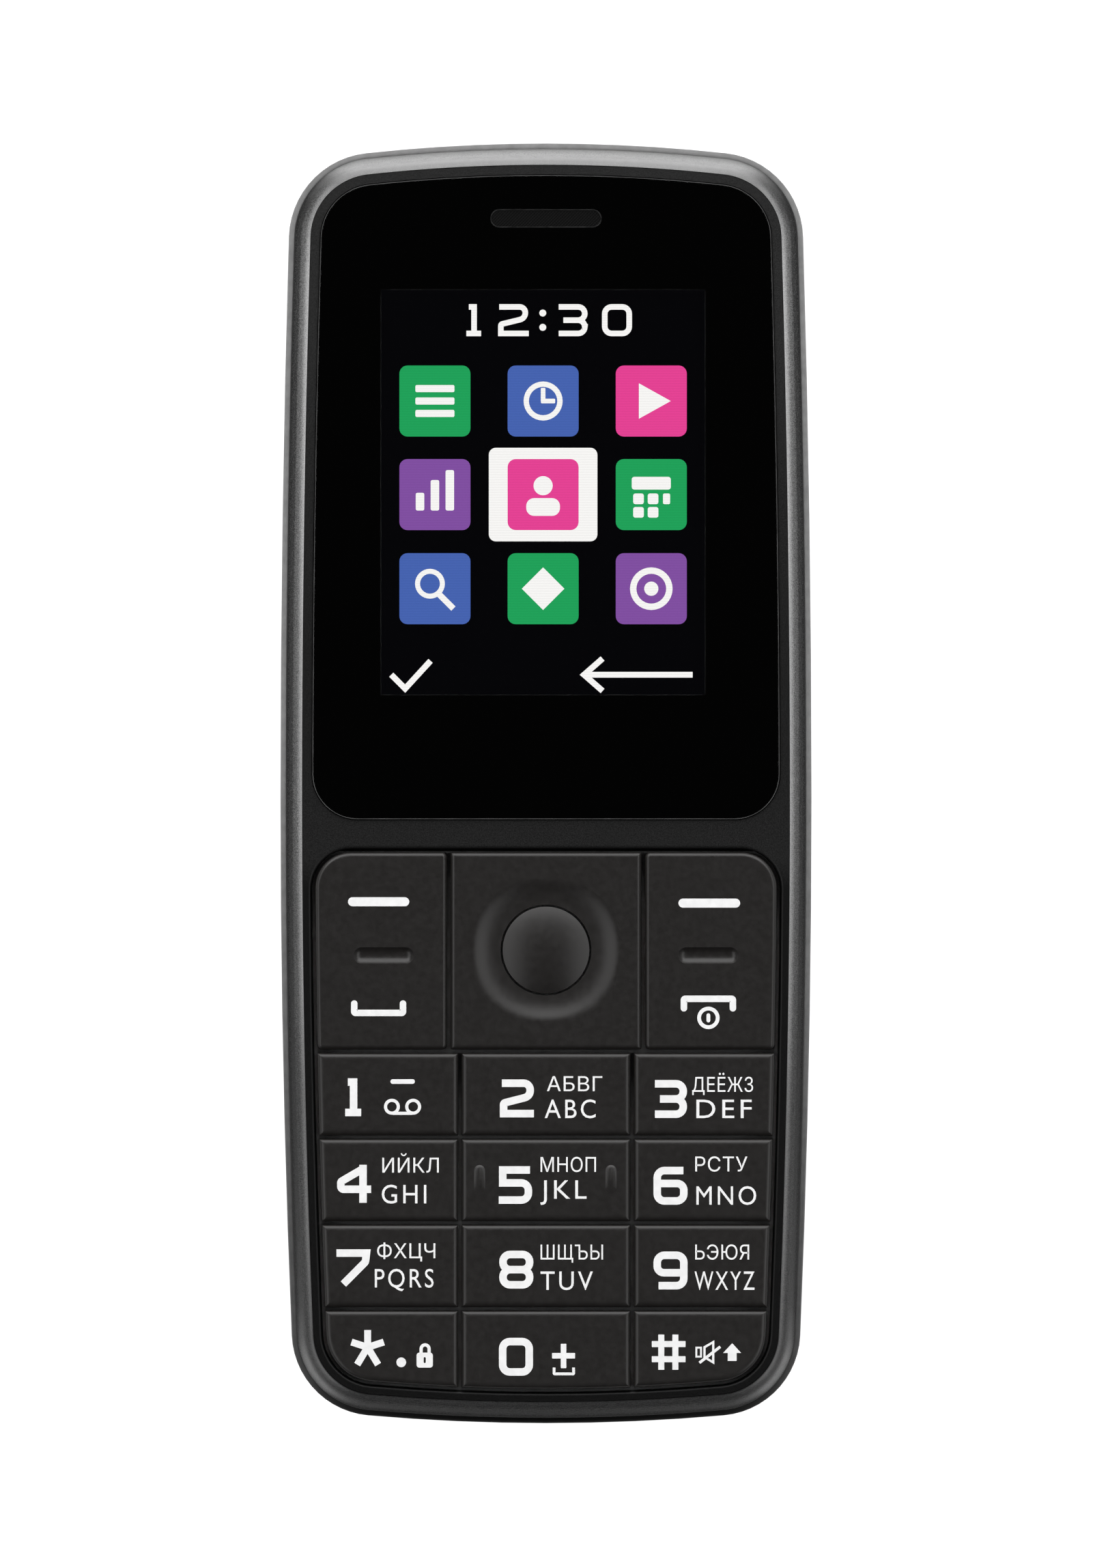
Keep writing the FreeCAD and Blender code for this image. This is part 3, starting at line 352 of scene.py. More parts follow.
def clearGlass(place):
    smear = mottled(place, glassLook["smear"], *glassLook["smearRange"])
    return place.add("BsdfPrincipled", None, {
        "Base Color": glassLook["tint"],
        "Transmission Weight": 1.0,
        "IOR": glassLook["index"],
        "Roughness": smear * glassLook["smearGloss"],
    })


def glowing(colour):
    # a lit part of the screen, with the display's own fine rows of dots; a Wave node has 20 bands in 2 pi
    def build(place):
        dots = place.add("TexWave", {"wave_type": "BANDS", "bands_direction": "Y"},
                         {"Vector": place, "Scale": 2 * math.pi / (20 * screenLook["dotPitch"] * mm)})
        shade = 1 - screenLook["dotShade"] + dots * screenLook["dotShade"]
        return place.add("BsdfPrincipled", None, {
            "Base Color": grey(0),
            "Roughness": 0.5,
            "Specular IOR Level": 0.0,
            "Emission Color": blend(place, grey(0), colour, shade),
            "Emission Strength": screenLook["glow"],
        })

    return build


# Outline of the body: six tangent arcs on each side of the middle line, as the CAD model has them

rearHigh = nodeBox("rear_housing")[1]
outlineLook = {
    "widestY": -1.5,
    "topArc": 144.8,
    "bottomArc": 177.0,
    "sideTop": 1640.0,
    "sideBottom": 1100.0,
    "topCorner": 7.5,
    "bottomCorner": 7.27,
    "pitch": 1.2,
    "cornerPitch": 0.25,
}
halfWidth = rearHigh.x
halfLength = rearHigh.y


def cornerCentre(end, endRadius, side, sideRadius, corner, up):
    # the middle of the corner arc, which touches the arcs round end and side from within
    reachEnd = endRadius - corner
    reachSide = sideRadius - corner
    along = side - end
    distance = along.length
    along.normalize()
    across = Vector((-along.y, along.x))
    step = (reachEnd**2 - reachSide**2 + distance**2) / (2 * distance)
    height = math.sqrt(reachEnd**2 - step**2)
    places = [end + along * step + across * height, end + along * step - across * height]
    return max(places, key=lambda place: up * place.y)


def sideArcs(up):
    # the three arcs from the widest point to the middle of one end, on the right of the phone
    name = "Top" if up > 0 else "Bottom"
    endRadius = outlineLook[name.lower() + "Arc"]
    sideRadius = outlineLook["side" + name]
    corner = outlineLook[name.lower() + "Corner"]
    end = Vector((0, up * (halfLength - endRadius)))
    side = Vector((halfWidth - sideRadius, outlineLook["widestY"]))
    centre = cornerCentre(end, endRadius, side, sideRadius, corner, up)
    sideTurn = (centre - side).angle_signed(Vector((1, 0)))
    endTurn = (centre - end).angle_signed(Vector((1, 0)))
    return [
        (side, sideRadius, 0.0, sideTurn, outlineLook["pitch"]),
        (centre, corner, sideTurn, endTurn, outlineLook["cornerPitch"]),
        (end, endRadius, endTurn, up * math.pi / 2, outlineLook["pitch"]),
    ]


def quarter(up):
    found = []
    for centre, radius, start, stop, pitch in sideArcs(up):
        count = max(2, round(abs(stop - start) * radius / pitch))
        for index in range(count):
            turn = start + (stop - start) * index / count
            way = unit(turn)
            found.append((centre + way * radius, way))
    found.append((Vector((0, up * halfLength)), Vector((0, up))))
    return found


def flipped(points):
    return [(Vector((-place.x, place.y)), Vector((-way.x, way.y))) for place, way in points]


def wholeOutline():
    top = quarter(1)
    bottom = quarter(-1)
    left = flipped(top)[::-1][1:]
    leftDown = flipped(bottom)[1:]
    right = bottom[::-1][1:-1]
    return top + left + leftDown + right


outlinePoints = wholeOutline()


def inward(inset):
    # the outline drawn in by inset
    return [place - way * inset for place, way in outlinePoints]


# Meshes


def addPiece(name, form, finishName, body, sharp=32.0, stands=()):
    # form is (points, faces); stands names the nodes that the piece stands in for
    points, faces = form
    mesh = bpy.data.meshes.new(name)
    mesh.from_pydata([(x * mm, y * mm, z * mm) for x, y, z in points], [], faces)
    shape = bmesh.new()
    shape.from_mesh(mesh)
    bmesh.ops.remove_doubles(shape, verts=shape.verts, dist=weld)
    bmesh.ops.recalc_face_normals(shape, faces=shape.faces)
    shape.to_mesh(mesh)
    shape.free()
    mesh.shade_smooth()
    mesh.set_sharp_from_angle(angle=math.radians(sharp))
    mesh.materials.append(materials[finishName])
    piece = bpy.data.objects.new(name, mesh)
    bpy.context.scene.collection.objects.link(piece)
    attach(piece, body)
    if stands:
        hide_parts(*stands)


def joined(parts):
    # several (points, faces) pairs as one
    points = []
    faces = []
    for morePoints, moreFaces in parts:
        start = len(points)
        points += morePoints
        faces += [[start + index for index in face] for face in moreFaces]
    return points, faces


def filled(loops):
    # flat faces between an outer loop and its holes
    spots = [Vector((p[0], p[1])) for loop in loops for p in loop]
    rings = []
    start = 0
    for loop in loops:
        rings.append(list(range(start, start + len(loop))))
        start += len(loop)
    withHoles = 2
    points, _, faces = delaunay_2d_cdt(spots, [], rings, withHoles, 1e-6)[:3]
    return points, [list(face) for face in faces]


def slab(loops, low, high):
    # a flat form of an outer loop and its holes, from low to high
    flat, fill = filled(loops)
    count = len(flat)
    points = [(p.x, p.y, z) for z in (low, high) for p in flat]
    faces = fill + [[index + count for index in face] for face in fill]
    uses = {}
    for face in fill:
        for a, b in zip(face, face[1:] + face[:1]):
            uses.setdefault(frozenset((a, b)), []).append((a, b))
    faces += [[a, b, b + count, a + count] for pairs in uses.values() if len(pairs) == 1 for a, b in pairs]
    return points, faces


def atHeight(loop, z):
    return [(p.x, p.y, z) for p in loop]


def walls(rows, closed=False):
    # faces between matching loops of points, and from the last loop back to the first where closed
    count = len(rows[0])
    faces = []
    for row in range(len(rows) if closed else len(rows) - 1):
        following = (row + 1) % len(rows)
        for index in range(count):
            nextIndex = (index + 1) % count
            faces.append([row * count + index, row * count + nextIndex,
                          following * count + nextIndex, following * count + index])
    return [point for row in rows for point in row], faces


def solid(rows):
    # walls closed by a flat face at each end
    points, faces = walls(rows)
    count = len(rows[0])
    return points, [*faces, list(range(count)), list(range(len(points) - count, len(points)))]


def roundedBox(x, y, width, height, corner, steps=6):
    loop = []
    for index, (sideX, sideY) in enumerate([(1, 1), (-1, 1), (-1, -1), (1, -1)]):
        centre = Vector((x + sideX * (width / 2 - corner), y + sideY * (height / 2 - corner)))
        for step in range(steps + 1):
            turn = math.pi / 2 * (index + step / steps)
            loop.append(centre + unit(turn) * corner)
    return loop


def pill(x, y, width, height, steps=8):
    # a bar with fully round ends
    return roundedBox(x, y, width, height, min(width, height) / 2 - hair, steps)


def disc(x, y, radius, steps=32):
    return [Vector((x + radius * math.cos(2 * math.pi * step / steps),
                    y + radius * math.sin(2 * math.pi * step / steps))) for step in range(steps)]


roundSteps = 6
miterLeast = 0.4


def easedPath(path, closed=False):
    # a path of (x, y) and (x, y, radius) corners with its corners made round
    found = []
    count = len(path)
    for index, corner in enumerate(path):
        here = Vector(corner[:2])
        inside = closed or 0 < index < count - 1
        if len(corner) < 3 or not inside:
            found.append(here)
            continue
        before = Vector(path[index - 1][:2]) - here
        after = Vector(path[(index + 1) % count][:2]) - here
        half = before.angle(after) / 2
        reach = min(corner[2] / math.tan(half), before.length * 0.5, after.length * 0.5)
        radius = reach * math.tan(half)
        start = here + before.normalized() * reach
        stop = here + after.normalized() * reach
        centre = here + (before.normalized() + after.normalized()).normalized() * (radius / math.sin(half))
        first = start - centre
        turn = first.angle_signed(stop - centre)
        for step in range(roundSteps + 1):
            angle = -turn * step / roundSteps
            found.append(centre + Vector((first.x * math.cos(angle) - first.y * math.sin(angle),
                                          first.x * math.sin(angle) + first.y * math.cos(angle))))
    return found


def thickened(path, width, closed=False):
    # the two sides of a stroke, as one loop, or as two loops where it is closed
    count = len(path)
    sides = ([], [])
    for index in range(count):
        here = path[index]
        before = path[index - 1] if closed or index else here
        after = path[(index + 1) % count] if closed or index < count - 1 else here
        ways = [(b - a).normalized() for a, b in ((before, here), (here, after)) if (b - a).length > 1e-6]
        way = (ways[0] + ways[-1]).normalized()
        across = Vector((-way.y, way.x))
        miter = 1 / max(miterLeast, across.dot(Vector((-ways[0].y, ways[0].x))))
        for side, sign in zip(sides, (1, -1)):
            side.append(here + across * sign * width / 2 * miter)
    return list(sides) if closed else [sides[0] + sides[1][::-1]]


# Finishes

screenLook = {
    "width": 28.03,
    "height": 35.04,
    "borderTop": 2.8,
    "shift": -0.26,
    "recess": 0.15,
    "dotPitch": 0.219,
    "dotShade": 0.08,
    "glow": 1.16,
    "tile": 6.15,
    "tileCorner": 0.7,
    "columns": (-9.62, -0.25, 9.12),
    "rows": (33.1, 25.0, 16.85),
    "layer": 0.012,
    "layerFilled": 0.8,
    "panelCorner": 0.02,
    "choice": (9.4, 8.1),
    "choiceCorner": 0.6,
}

materials = {name: finish(name, moulded(look)) for name, look in plastics.items()}
for name, build in (("ringPaint", ringPaint), ("clearGlass", clearGlass), ("wovenMesh", woven)):
    materials[name] = finish(name, build)
# slots whose finish bears another name
slotFinish = {"windowGlass": "clearGlass", "tape": "foamTape", "screen": "blackMoulding",
              "flexFilm": "filmCopper"}
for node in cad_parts.values():
    for place in node.material_slots:
        name = plainName(place.material.name.split(".")[0])
        place.material = materials[slotFinish.get(name, name)]
print("finishes given to", len(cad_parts), "nodes")


# Front ring: a leaning wall and a round shoulder, drawn up to the frame

ringLow, ringHigh = nodeBox("front_ring")
ringShape = {
    "foot": 0.57,
    "outer": 0.47,
    "footRise": 0.12,
    "inner": 1.9,
    "lean": 0.06,
    "steep": 74.0,
    "flat": 20.0,
    "steps": 14,
    "sharp": 14.0,
}


def makeRing():
    look = ringShape
    start = look["outer"] + look["lean"]
    flatTilt = math.radians(look["flat"])
    spread = math.sin(math.radians(look["steep"])) - math.sin(flatTilt)
    radius = (look["inner"] - start) / spread
    profile = [(look["foot"], ringLow.z), (look["outer"], ringLow.z + look["footRise"])]
    for step in range(look["steps"] + 1):
        tilt = math.radians(look["steep"] + (look["flat"] - look["steep"]) * step / look["steps"])
        profile.append((look["inner"] - radius * (math.sin(tilt) - math.sin(flatTilt)),
                        ringHigh.z - radius * (math.cos(flatTilt) - math.cos(tilt))))
    profile.append((look["inner"], ringLow.z))
    form = walls([atHeight(inward(inset), z) for inset, z in profile], True)
    addPiece("ringShell", form, "ringPaint", "phone", look["sharp"], ["front_ring"])


makeRing()
print("ring made")


# Window: a clear pane over a black print that leaves the screen free

windowLow, windowHigh = nodeBox("display_window")
displayHigh = nodeBox("display_module")[1]
windowLook = {
    "inset": 2.8,
    "corner": 3.9,
    "edge": 0.06,
    "chamfer": 0.05,
    "print": 0.02,
    "printMargin": 0.06,
    "slotWidth": 9.75,
    "slotHeight": 1.7,
    "slotDrop": 6.54,
    "printInset": 0.02,
    "edgeHold": 0.002,
    "edgeDrop": 0.01,
    "apertureCorner": 0.1,
    "steps": 12,
    "slotSteps": 10,
}
slotY = halfLength - windowLook["slotDrop"]
screenHighY = displayHigh.y - screenLook["borderTop"]
screenY = screenHighY - screenLook["height"] / 2
screenX = screenLook["shift"]


def windowLoop(inset):
    # the outline cut straight below the screen, with round lower corners
    look = windowLook
    bottomY = windowLow.y + inset
    corner = look["corner"] - inset
    cornerY = bottomY + corner
    ring = inward(look["inset"] + inset)
    sideX = max(p.x for p in ring if abs(p.y - cornerY) < outlineLook["pitch"])
    split = next(index for index, p in enumerate(ring) if p.x < 0 and p.y <= cornerY)
    loop = [p for p in ring[split:] + ring[:split] if p.y > cornerY]
    for sign, turn in ((-1, math.pi), (1, 1.5 * math.pi)):
        for step in range(look["steps"] + 1):
            angle = turn + math.pi / 2 * step / look["steps"]
            loop.append(Vector((sign * (sideX - corner) + corner * math.cos(angle),
                                cornerY + corner * math.sin(angle))))
    return loop


def capped(loops, z):
    flat, faces = filled(loops)
    return atHeight(flat, z), faces


def makeWindow():
    look = windowLook
    outer = windowLoop(look["edge"])
    drawnIn = windowLoop(look["edge"] + look["chamfer"])
    hole = pill(0, slotY, look["slotWidth"], look["slotHeight"], look["slotSteps"])
    low = windowLow.z + look["print"]
    high = windowHigh.z
    rim = walls([atHeight(outer, low), atHeight(outer, high - look["chamfer"]), atHeight(drawnIn, high)])
    inner = walls([atHeight(hole, low), atHeight(hole, high)])
    pane = joined([rim, inner, capped([outer, hole], low), capped([drawnIn, hole], high)])
    addPiece("windowPane", pane, "clearGlass", "phone", stands=["display_window"])
    aperture = roundedBox(screenX, screenY, screenLook["width"] + 2 * look["printMargin"],
                          screenLook["height"] + 2 * look["printMargin"], look["apertureCorner"], 2)
    mask = slab([windowLoop(look["printInset"]), hole, aperture], windowLow.z, low)
    addPiece("windowPrint", mask, "windowPrint", "phone")
    # a grey strip round the pane, a painted highlight along the window's chamfer
    edge = slab([windowLoop(0), windowLoop(look["edge"] - look["edgeHold"])], low, high - look["edgeDrop"])
    addPiece("windowEdge", edge, "edgeLine", "phone")


makeWindow()
print("window made")


# Earpiece: woven mesh with a thin pressed rim, a little below the window's face

earpieceLook = {"gap": 0.05, "rim": 0.1, "meshDrop": 0.16, "rimDrop": 0.1, "foot": 12.9}


def makeEarpiece():
    look = earpieceLook
    width = windowLook["slotWidth"] - 2 * look["gap"]
    tall = windowLook["slotHeight"] - 2 * look["gap"]
    steps = windowLook["slotSteps"]
    outer = pill(0, slotY, width, tall, steps)
    inner = pill(0, slotY, width - 2 * look["rim"], tall - 2 * look["rim"], steps)
    cloth = slab([inner], look["foot"], windowHigh.z - look["meshDrop"])
    addPiece("earMesh", cloth, "wovenMesh", "phone", stands=["earpiece_mesh"])
    rim = slab([outer, inner], look["foot"], windowHigh.z - look["rimDrop"])
    addPiece("earRim", rim, "meshMetal", "phone")


makeEarpiece()
print("earpiece made")


# Screen: nine menu tiles with plain signs

tileColours = {
    "pink": tone(226, 65, 146),
    "blue": tone(69, 98, 174),
    "purple": tone(127, 78, 159),
    "green": tone(31, 159, 88),
    "white": tone(244, 243, 241),
    "night": tone(0, 0, 2),
}
tileOrder = [["green", "blue", "pink"], ["purple", "pink", "green"], ["blue", "green", "purple"]]
for name, colour in tileColours.items():
    materials["lit" + name.capitalize()] = finish("lit" + name.capitalize(), glowing(colour))
screenTopZ = displayHigh.z - screenLook["recess"]


def polygon(*corners):
    return [[Vector(corner) for corner in corners]]


def hoop(x, y, radius, width):
    return [disc(x, y, radius), disc(x, y, radius - width)]


def bar(x, y, width, height):
    return [roundedBox(x, y, width, height, min(width, height) * 0.2, 3)]


def tileSigns():
    # one plain sign for each tile, in shares of the tile's half side
    return [
        [bar(0, 0.35, 1.1, 0.2), bar(0, 0, 1.1, 0.2), bar(0, -0.35, 1.1, 0.2)],
        [hoop(0, 0, 0.55, 0.15), bar(0, 0.17, 0.13, 0.4), bar(0.14, 0, 0.4, 0.13)],
        [polygon((-0.35, 0.5), (0.55, 0), (-0.35, -0.5))],
        [bar(-0.42, -0.2, 0.24, 0.5), bar(0, -0.02, 0.24, 0.86), bar(0.42, 0.12, 0.24, 1.14)],
        [[disc(0, 0.25, 0.27)], [roundedBox(0, -0.35, 0.95, 0.5, 0.22, 6)]],
        [bar(0, 0.32, 1.1, 0.36), bar(-0.36, -0.12, 0.3, 0.3), bar(0.05, -0.12, 0.3, 0.3),
         bar(-0.36, -0.5, 0.3, 0.3), bar(0.05, -0.5, 0.3, 0.3), bar(0.43, -0.12, 0.2, 0.3)],
        [hoop(-0.14, 0.14, 0.42, 0.14), polygon((0.1, -0.02), (0.58, -0.5), (0.46, -0.62), (-0.02, -0.14))],
        [polygon((0, 0.6), (0.6, 0), (0, -0.6), (-0.6, 0))],
        [hoop(0, 0, 0.6, 0.18), [disc(0, 0, 0.2)]],
    ]


def litSlab(name, loopSets, colour, level):
    low = screenTopZ + screenLook["layer"] * level
    high = low + screenLook["layer"] * screenLook["layerFilled"]
    form = joined([slab(loops, low, high) for loops in loopSets])
    addPiece(name, form, "lit" + colour.capitalize(), "phone")


def makeScreen():
    look = screenLook
    panel = roundedBox(screenX, screenY, look["width"], look["height"], look["panelCorner"], 2)
    litSlab("screenPanel", [[panel]], "night", 0)
    half = look["tile"] / 2
    signs = tileSigns()
    tiles = {}
    marks = []
    for row, y in enumerate(look["rows"]):
        for column, x in enumerate(look["columns"]):
            tile = roundedBox(x, y, look["tile"], look["tile"], look["tileCorner"])
            tiles.setdefault(tileOrder[row][column], []).append([tile])
            for loops in signs[3 * row + column]:
                marks.append([[Vector((x + p[0] * half, y + p[1] * half)) for p in loop] for loop in loops])
    chosen = roundedBox(look["columns"][1], look["rows"][1], *look["choice"], look["choiceCorner"])
    litSlab("screenChoice", [[chosen]], "white", 1)
    for colour, places in tiles.items():
        litSlab("screenTiles" + colour.capitalize(), places, colour, 2)
    litSlab("screenSigns", marks, "white", 3)


makeScreen()
print("screen made")


# Four-way pad with its round dish, and the domed button that rises out of it

keyTopZ = nodeBox("key_1")[1].z
padLow, padHigh = nodeBox("nav_pad")
okLow, okHigh = nodeBox("ok_button")
padLook = {
    "dishFloor": 3.4,
    "dishCurve": 1.8,
    "dishWide": 6.45,
    "dishTall": 6.25,
    "dishSquare": 2.25,
    "dishDepth": 0.45,
    "rimHold": 0.18,
    "hole": 3.93,
    "lipDrop": 0.2,
    "lipFlare": 0.35,
    "holeFlare": 0.9,
    "bevel": 0.4,
    "corner": 0.12,
    "rings": 26,
    "around": 144,
    "hold": 0.06,
    "leastCorner": 0.05,
    "fan": 4,
    "fanPitch": 0.012,
    "digits": 6,
    "bevelSteps": 6,
}
okLook = {"crownRadius": 11.14, "edge": 3.75, "stem": 3.55, "stemFoot": 1.3, "under": 0.25, "rings": 22,
          "around": 96}
padX = (padLow.x + padHigh.x) / 2
padY = (okLow.y + okHigh.y) / 2


def dishRim(turn):
    # the dish is slightly square, and wider than it is tall
    power = padLook["dishSquare"]
    across = abs(math.cos(turn) / padLook["dishWide"]) ** power
    along = abs(math.sin(turn) / padLook["dishTall"]) ** power
    return (across + along) ** (-1 / power)


def dishZ(radius, rim):
    # a floor that climbs more and more steeply and rounds over at the rim
    share = min(1.0, max(0.0, (radius - padLook["dishFloor"]) / (rim - padLook["dishFloor"])))
    share = share ** padLook["dishCurve"]
    return padHigh.z - padLook["dishDepth"] * (1 - share * share * (3 - 2 * share))


def squareRay(turn, halfX, lowY, highY, corner):
    # where a ray from the dish's middle leaves the pad's rounded outline
    way = unit(turn)
    reachX = halfX / abs(way.x) if abs(way.x) > tiny else math.inf
    side = highY if way.y > 0 else lowY
    reachY = side / abs(way.y) if abs(way.y) > tiny else math.inf
    reach = min(reachX, reachY)
    spot = way * reach
    centre = Vector((math.copysign(halfX - corner, way.x), math.copysign(side - corner, way.y)))
    if abs(spot.x) > abs(centre.x) and abs(spot.y) > abs(centre.y):
        along = way.dot(centre)
        reach = along + math.sqrt(max(0.0, along**2 - centre.length_squared + corner**2))
    return way * reach


def padRing(turns, radii, heights):
    # a loop round the pad's middle, with a radius and a height for each turn
    return [(padX + radius * math.cos(turn), padY + radius * math.sin(turn), z)
            for turn, radius, z in zip(turns, radii, heights)]


def fannedTurns(corners, look):
    # even turns all round, and a close fan of them at each corner
    around = look["around"]
    digits = look["digits"]
    fan = range(-look["fan"], look["fan"] + 1)
    return sorted({round(2 * math.pi * step / around - math.pi, digits) for step in range(around)}
                  | {round(corner + step * look["fanPitch"], digits) for corner in corners for step in fan})


def makePad():
    look = padLook
    halfX = (padHigh.x - padLow.x) / 2
    lowY = padY - padLow.y
    highY = padHigh.y - padY
    corners = [math.atan2(y, x) for x in (halfX, -halfX) for y in (highY, -lowY)]
    turns = fannedTurns(corners, look)
    rims = [dishRim(turn) for turn in turns]

    def edgeLoop(inset, z):
        corner = max(look["leastCorner"], look["corner"] - inset)
        spots = [squareRay(turn, halfX - inset, lowY - inset, highY - inset, corner) for turn in turns]
        return [(padX + spot.x, padY + spot.y, z) for spot in spots]

    lipZ = padHigh.z - look["dishDepth"]
    rows = [padRing(turns, repeat(look["hole"] + look["holeFlare"]), repeat(padLow.z)),
            padRing(turns, repeat(look["hole"] + look["lipFlare"]), repeat(lipZ - look["lipDrop"]))]
    for step in range(look["rings"] + 1):
        radii = [look["hole"] + (rim - look["hole"]) * step / look["rings"] for rim in rims]
        rows.append(padRing(turns, radii, map(dishZ, radii, rims)))
    rows.append(padRing(turns, [rim + look["rimHold"] for rim in rims], repeat(padHigh.z)))
    rows.append(edgeLoop(look["bevel"] + look["hold"], padHigh.z))
    for step in range(look["bevelSteps"] + 1):
        tilt = math.pi / 2 * step / look["bevelSteps"]
        drop = look["bevel"] * (1 - math.cos(tilt))
        rows.append(edgeLoop(look["bevel"] * (1 - math.sin(tilt)), padHigh.z - drop))
    rows.append(edgeLoop(0, padLow.z))
    addPiece("padCap", walls(rows, True), "keyPlastic", "nav_pad", stands=["nav_pad"])


def makeOk():
    look = okLook
    turns = [2 * math.pi * step / look["around"] for step in range(look["around"])]

    def crownZ(radius):
        return okHigh.z - look["crownRadius"] + math.sqrt(look["crownRadius"]**2 - radius**2)

    radii = [look["edge"] * step / look["rings"] for step in range(1, look["rings"] + 1)]
    rows = [padRing(turns, repeat(radius), repeat(crownZ(radius))) for radius in radii]
    for z in (crownZ(look["edge"]) - look["under"], okLow.z + look["stemFoot"]):
        rows.append(padRing(turns, repeat(look["stem"]), repeat(z)))
    addPiece("okCap", solid(rows), "keyPlastic", "ok_button", stands=["ok_button"])


makePad()
makeOk()
print("pad and middle button made")


# Key caps: near-square corners, and the outer ones cut to the body's outline

# past sideFrom and footFrom a key follows the outline, which is searched up to the margins round the key
capLook = {"inset": 3.0, "bevel": 0.5, "drop": 0.36, "steps": 6, "around": 60, "fan": 8, "fanPitch": 0.0055,
           "digits": 5, "hold": 0.06, "sideFrom": 10.0, "footFrom": -50.0, "margin": 1.0, "footMargin": 4.0}
pipLook = {"places": [(-5.75, -34.26), (5.63, -34.26)], "width": 0.95, "tall": 2.45, "rise": 0.15,
           "inset": 0.22, "least": 0.001, "sunk": 0.05, "sharp": 40.0}


def rayTo(centre, way, a, b):
    # how far along way from centre the edge from a to b is met
    edge = b - a
    cross = way.cross(edge)
    if abs(cross) < 1e-12:
        return None
    offset = a - centre
    along = offset.cross(edge) / cross
    share = offset.cross(way) / cross
    return along if along > 0 and -1e-6 <= share <= 1 + 1e-6 else None


def makeKeyCap(name):
    look = capLook
    low, high = nodeBox(name)
    top = keyTopZ
    centre = Vector(((low.x + high.x) / 2, (low.y + high.y) / 2))
    corners = [math.atan2(y - centre.y, x - centre.x) for x in (low.x, high.x) for y in (low.y, high.y)]
    turns = fannedTurns(corners, look)
    ways = [unit(turn) for turn in turns]
    leftOpen = low.x < -look["sideFrom"]
    rightOpen = high.x > look["sideFrom"]
    footOpen = low.y < look["footFrom"]
    margin = look["margin"]

    def loopAt(inset, z):
        ring = inward(look["inset"] + inset)
        edges = [(a, b) for a, b in zip(ring, ring[1:] + ring[:1])
                 if min(a.y, b.y) < high.y + margin and max(a.y, b.y) > low.y - look["footMargin"]
                 and min(a.x, b.x) < high.x + margin and max(a.x, b.x) > low.x - margin]
        row = []
        for way in ways:
            found = [rayTo(centre, way, a, b) for a, b in edges]
            if not (rightOpen and way.x > 0) and not (leftOpen and way.x < 0) and abs(way.x) > tiny:
                found.append(((high.x - inset if way.x > 0 else low.x + inset) - centre.x) / way.x)
            if not (footOpen and way.y < 0) and abs(way.y) > tiny:
                found.append(((high.y - inset if way.y > 0 else low.y + inset) - centre.y) / way.y)
            spot = centre + way * min(value for value in found if value is not None)
            row.append((spot.x, spot.y, z))
        return row

    rows = [loopAt(0, low.z), loopAt(0, top - look["drop"])]
    for step in range(1, look["steps"] + 1):
        tilt = math.pi / 2 * step / look["steps"]
        rows.append(loopAt(look["bevel"] * (1 - math.cos(tilt)), top - look["drop"] * (1 - math.sin(tilt))))
    rows.append(loopAt(look["bevel"] + look["hold"], top))
    addPiece(plainName(name) + "Cap", solid(rows), "keyPlastic", name, stands=[name])


def makePips():
    # two raised marks on the middle key, high at the top end and run out at the foot
    look = pipLook
    parts = []
    for x, y in look["places"]:
        base = pill(x, y, look["width"], look["tall"])
        shareX = 1 - 2 * look["inset"] / look["width"]
        shareY = 1 - 2 * look["inset"] / look["tall"]
        inner = [Vector((x + (p.x - x) * shareX, y + (p.y - y) * shareY)) for p in base]
        rises = [look["rise"] * min(1.0, max(0.0, 0.5 + (p.y - y) / look["tall"])) for p in inner]
        crown = [(p.x, p.y, keyTopZ + look["least"] + rise) for p, rise in zip(inner, rises)]
        parts.append(solid([atHeight(base, keyTopZ - look["sunk"]), atHeight(base, keyTopZ), crown]))
    addPiece("key5Pips", joined(parts), "keyPlastic", "key_5", look["sharp"])


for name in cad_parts:
    if name.startswith("key_"):
        makeKeyCap(name)
makePips()
print("key caps made")


# Keypad print: digits as strokes, letters from the built-in face

printLook = {
    "proud": 0.02,
    "sunk": 0.004,
    "digitWide": 2.95,
    "digitTall": 3.28,
    "digitStroke": 0.65,
    "round": 0.62,
    "overlap": 0.0015,
    "letterOverlap": 0.0007,
}
# tall in millimetres; top is the height of a capital in the face's own units, weight thickens its strokes
letterLook = {
    "small": {"tall": 1.29, "top": 0.728, "weight": 0.0, "spacing": 1.04},
    "large": {"tall": 1.6, "top": 0.686, "weight": 0.006, "spacing": 1.22},
}
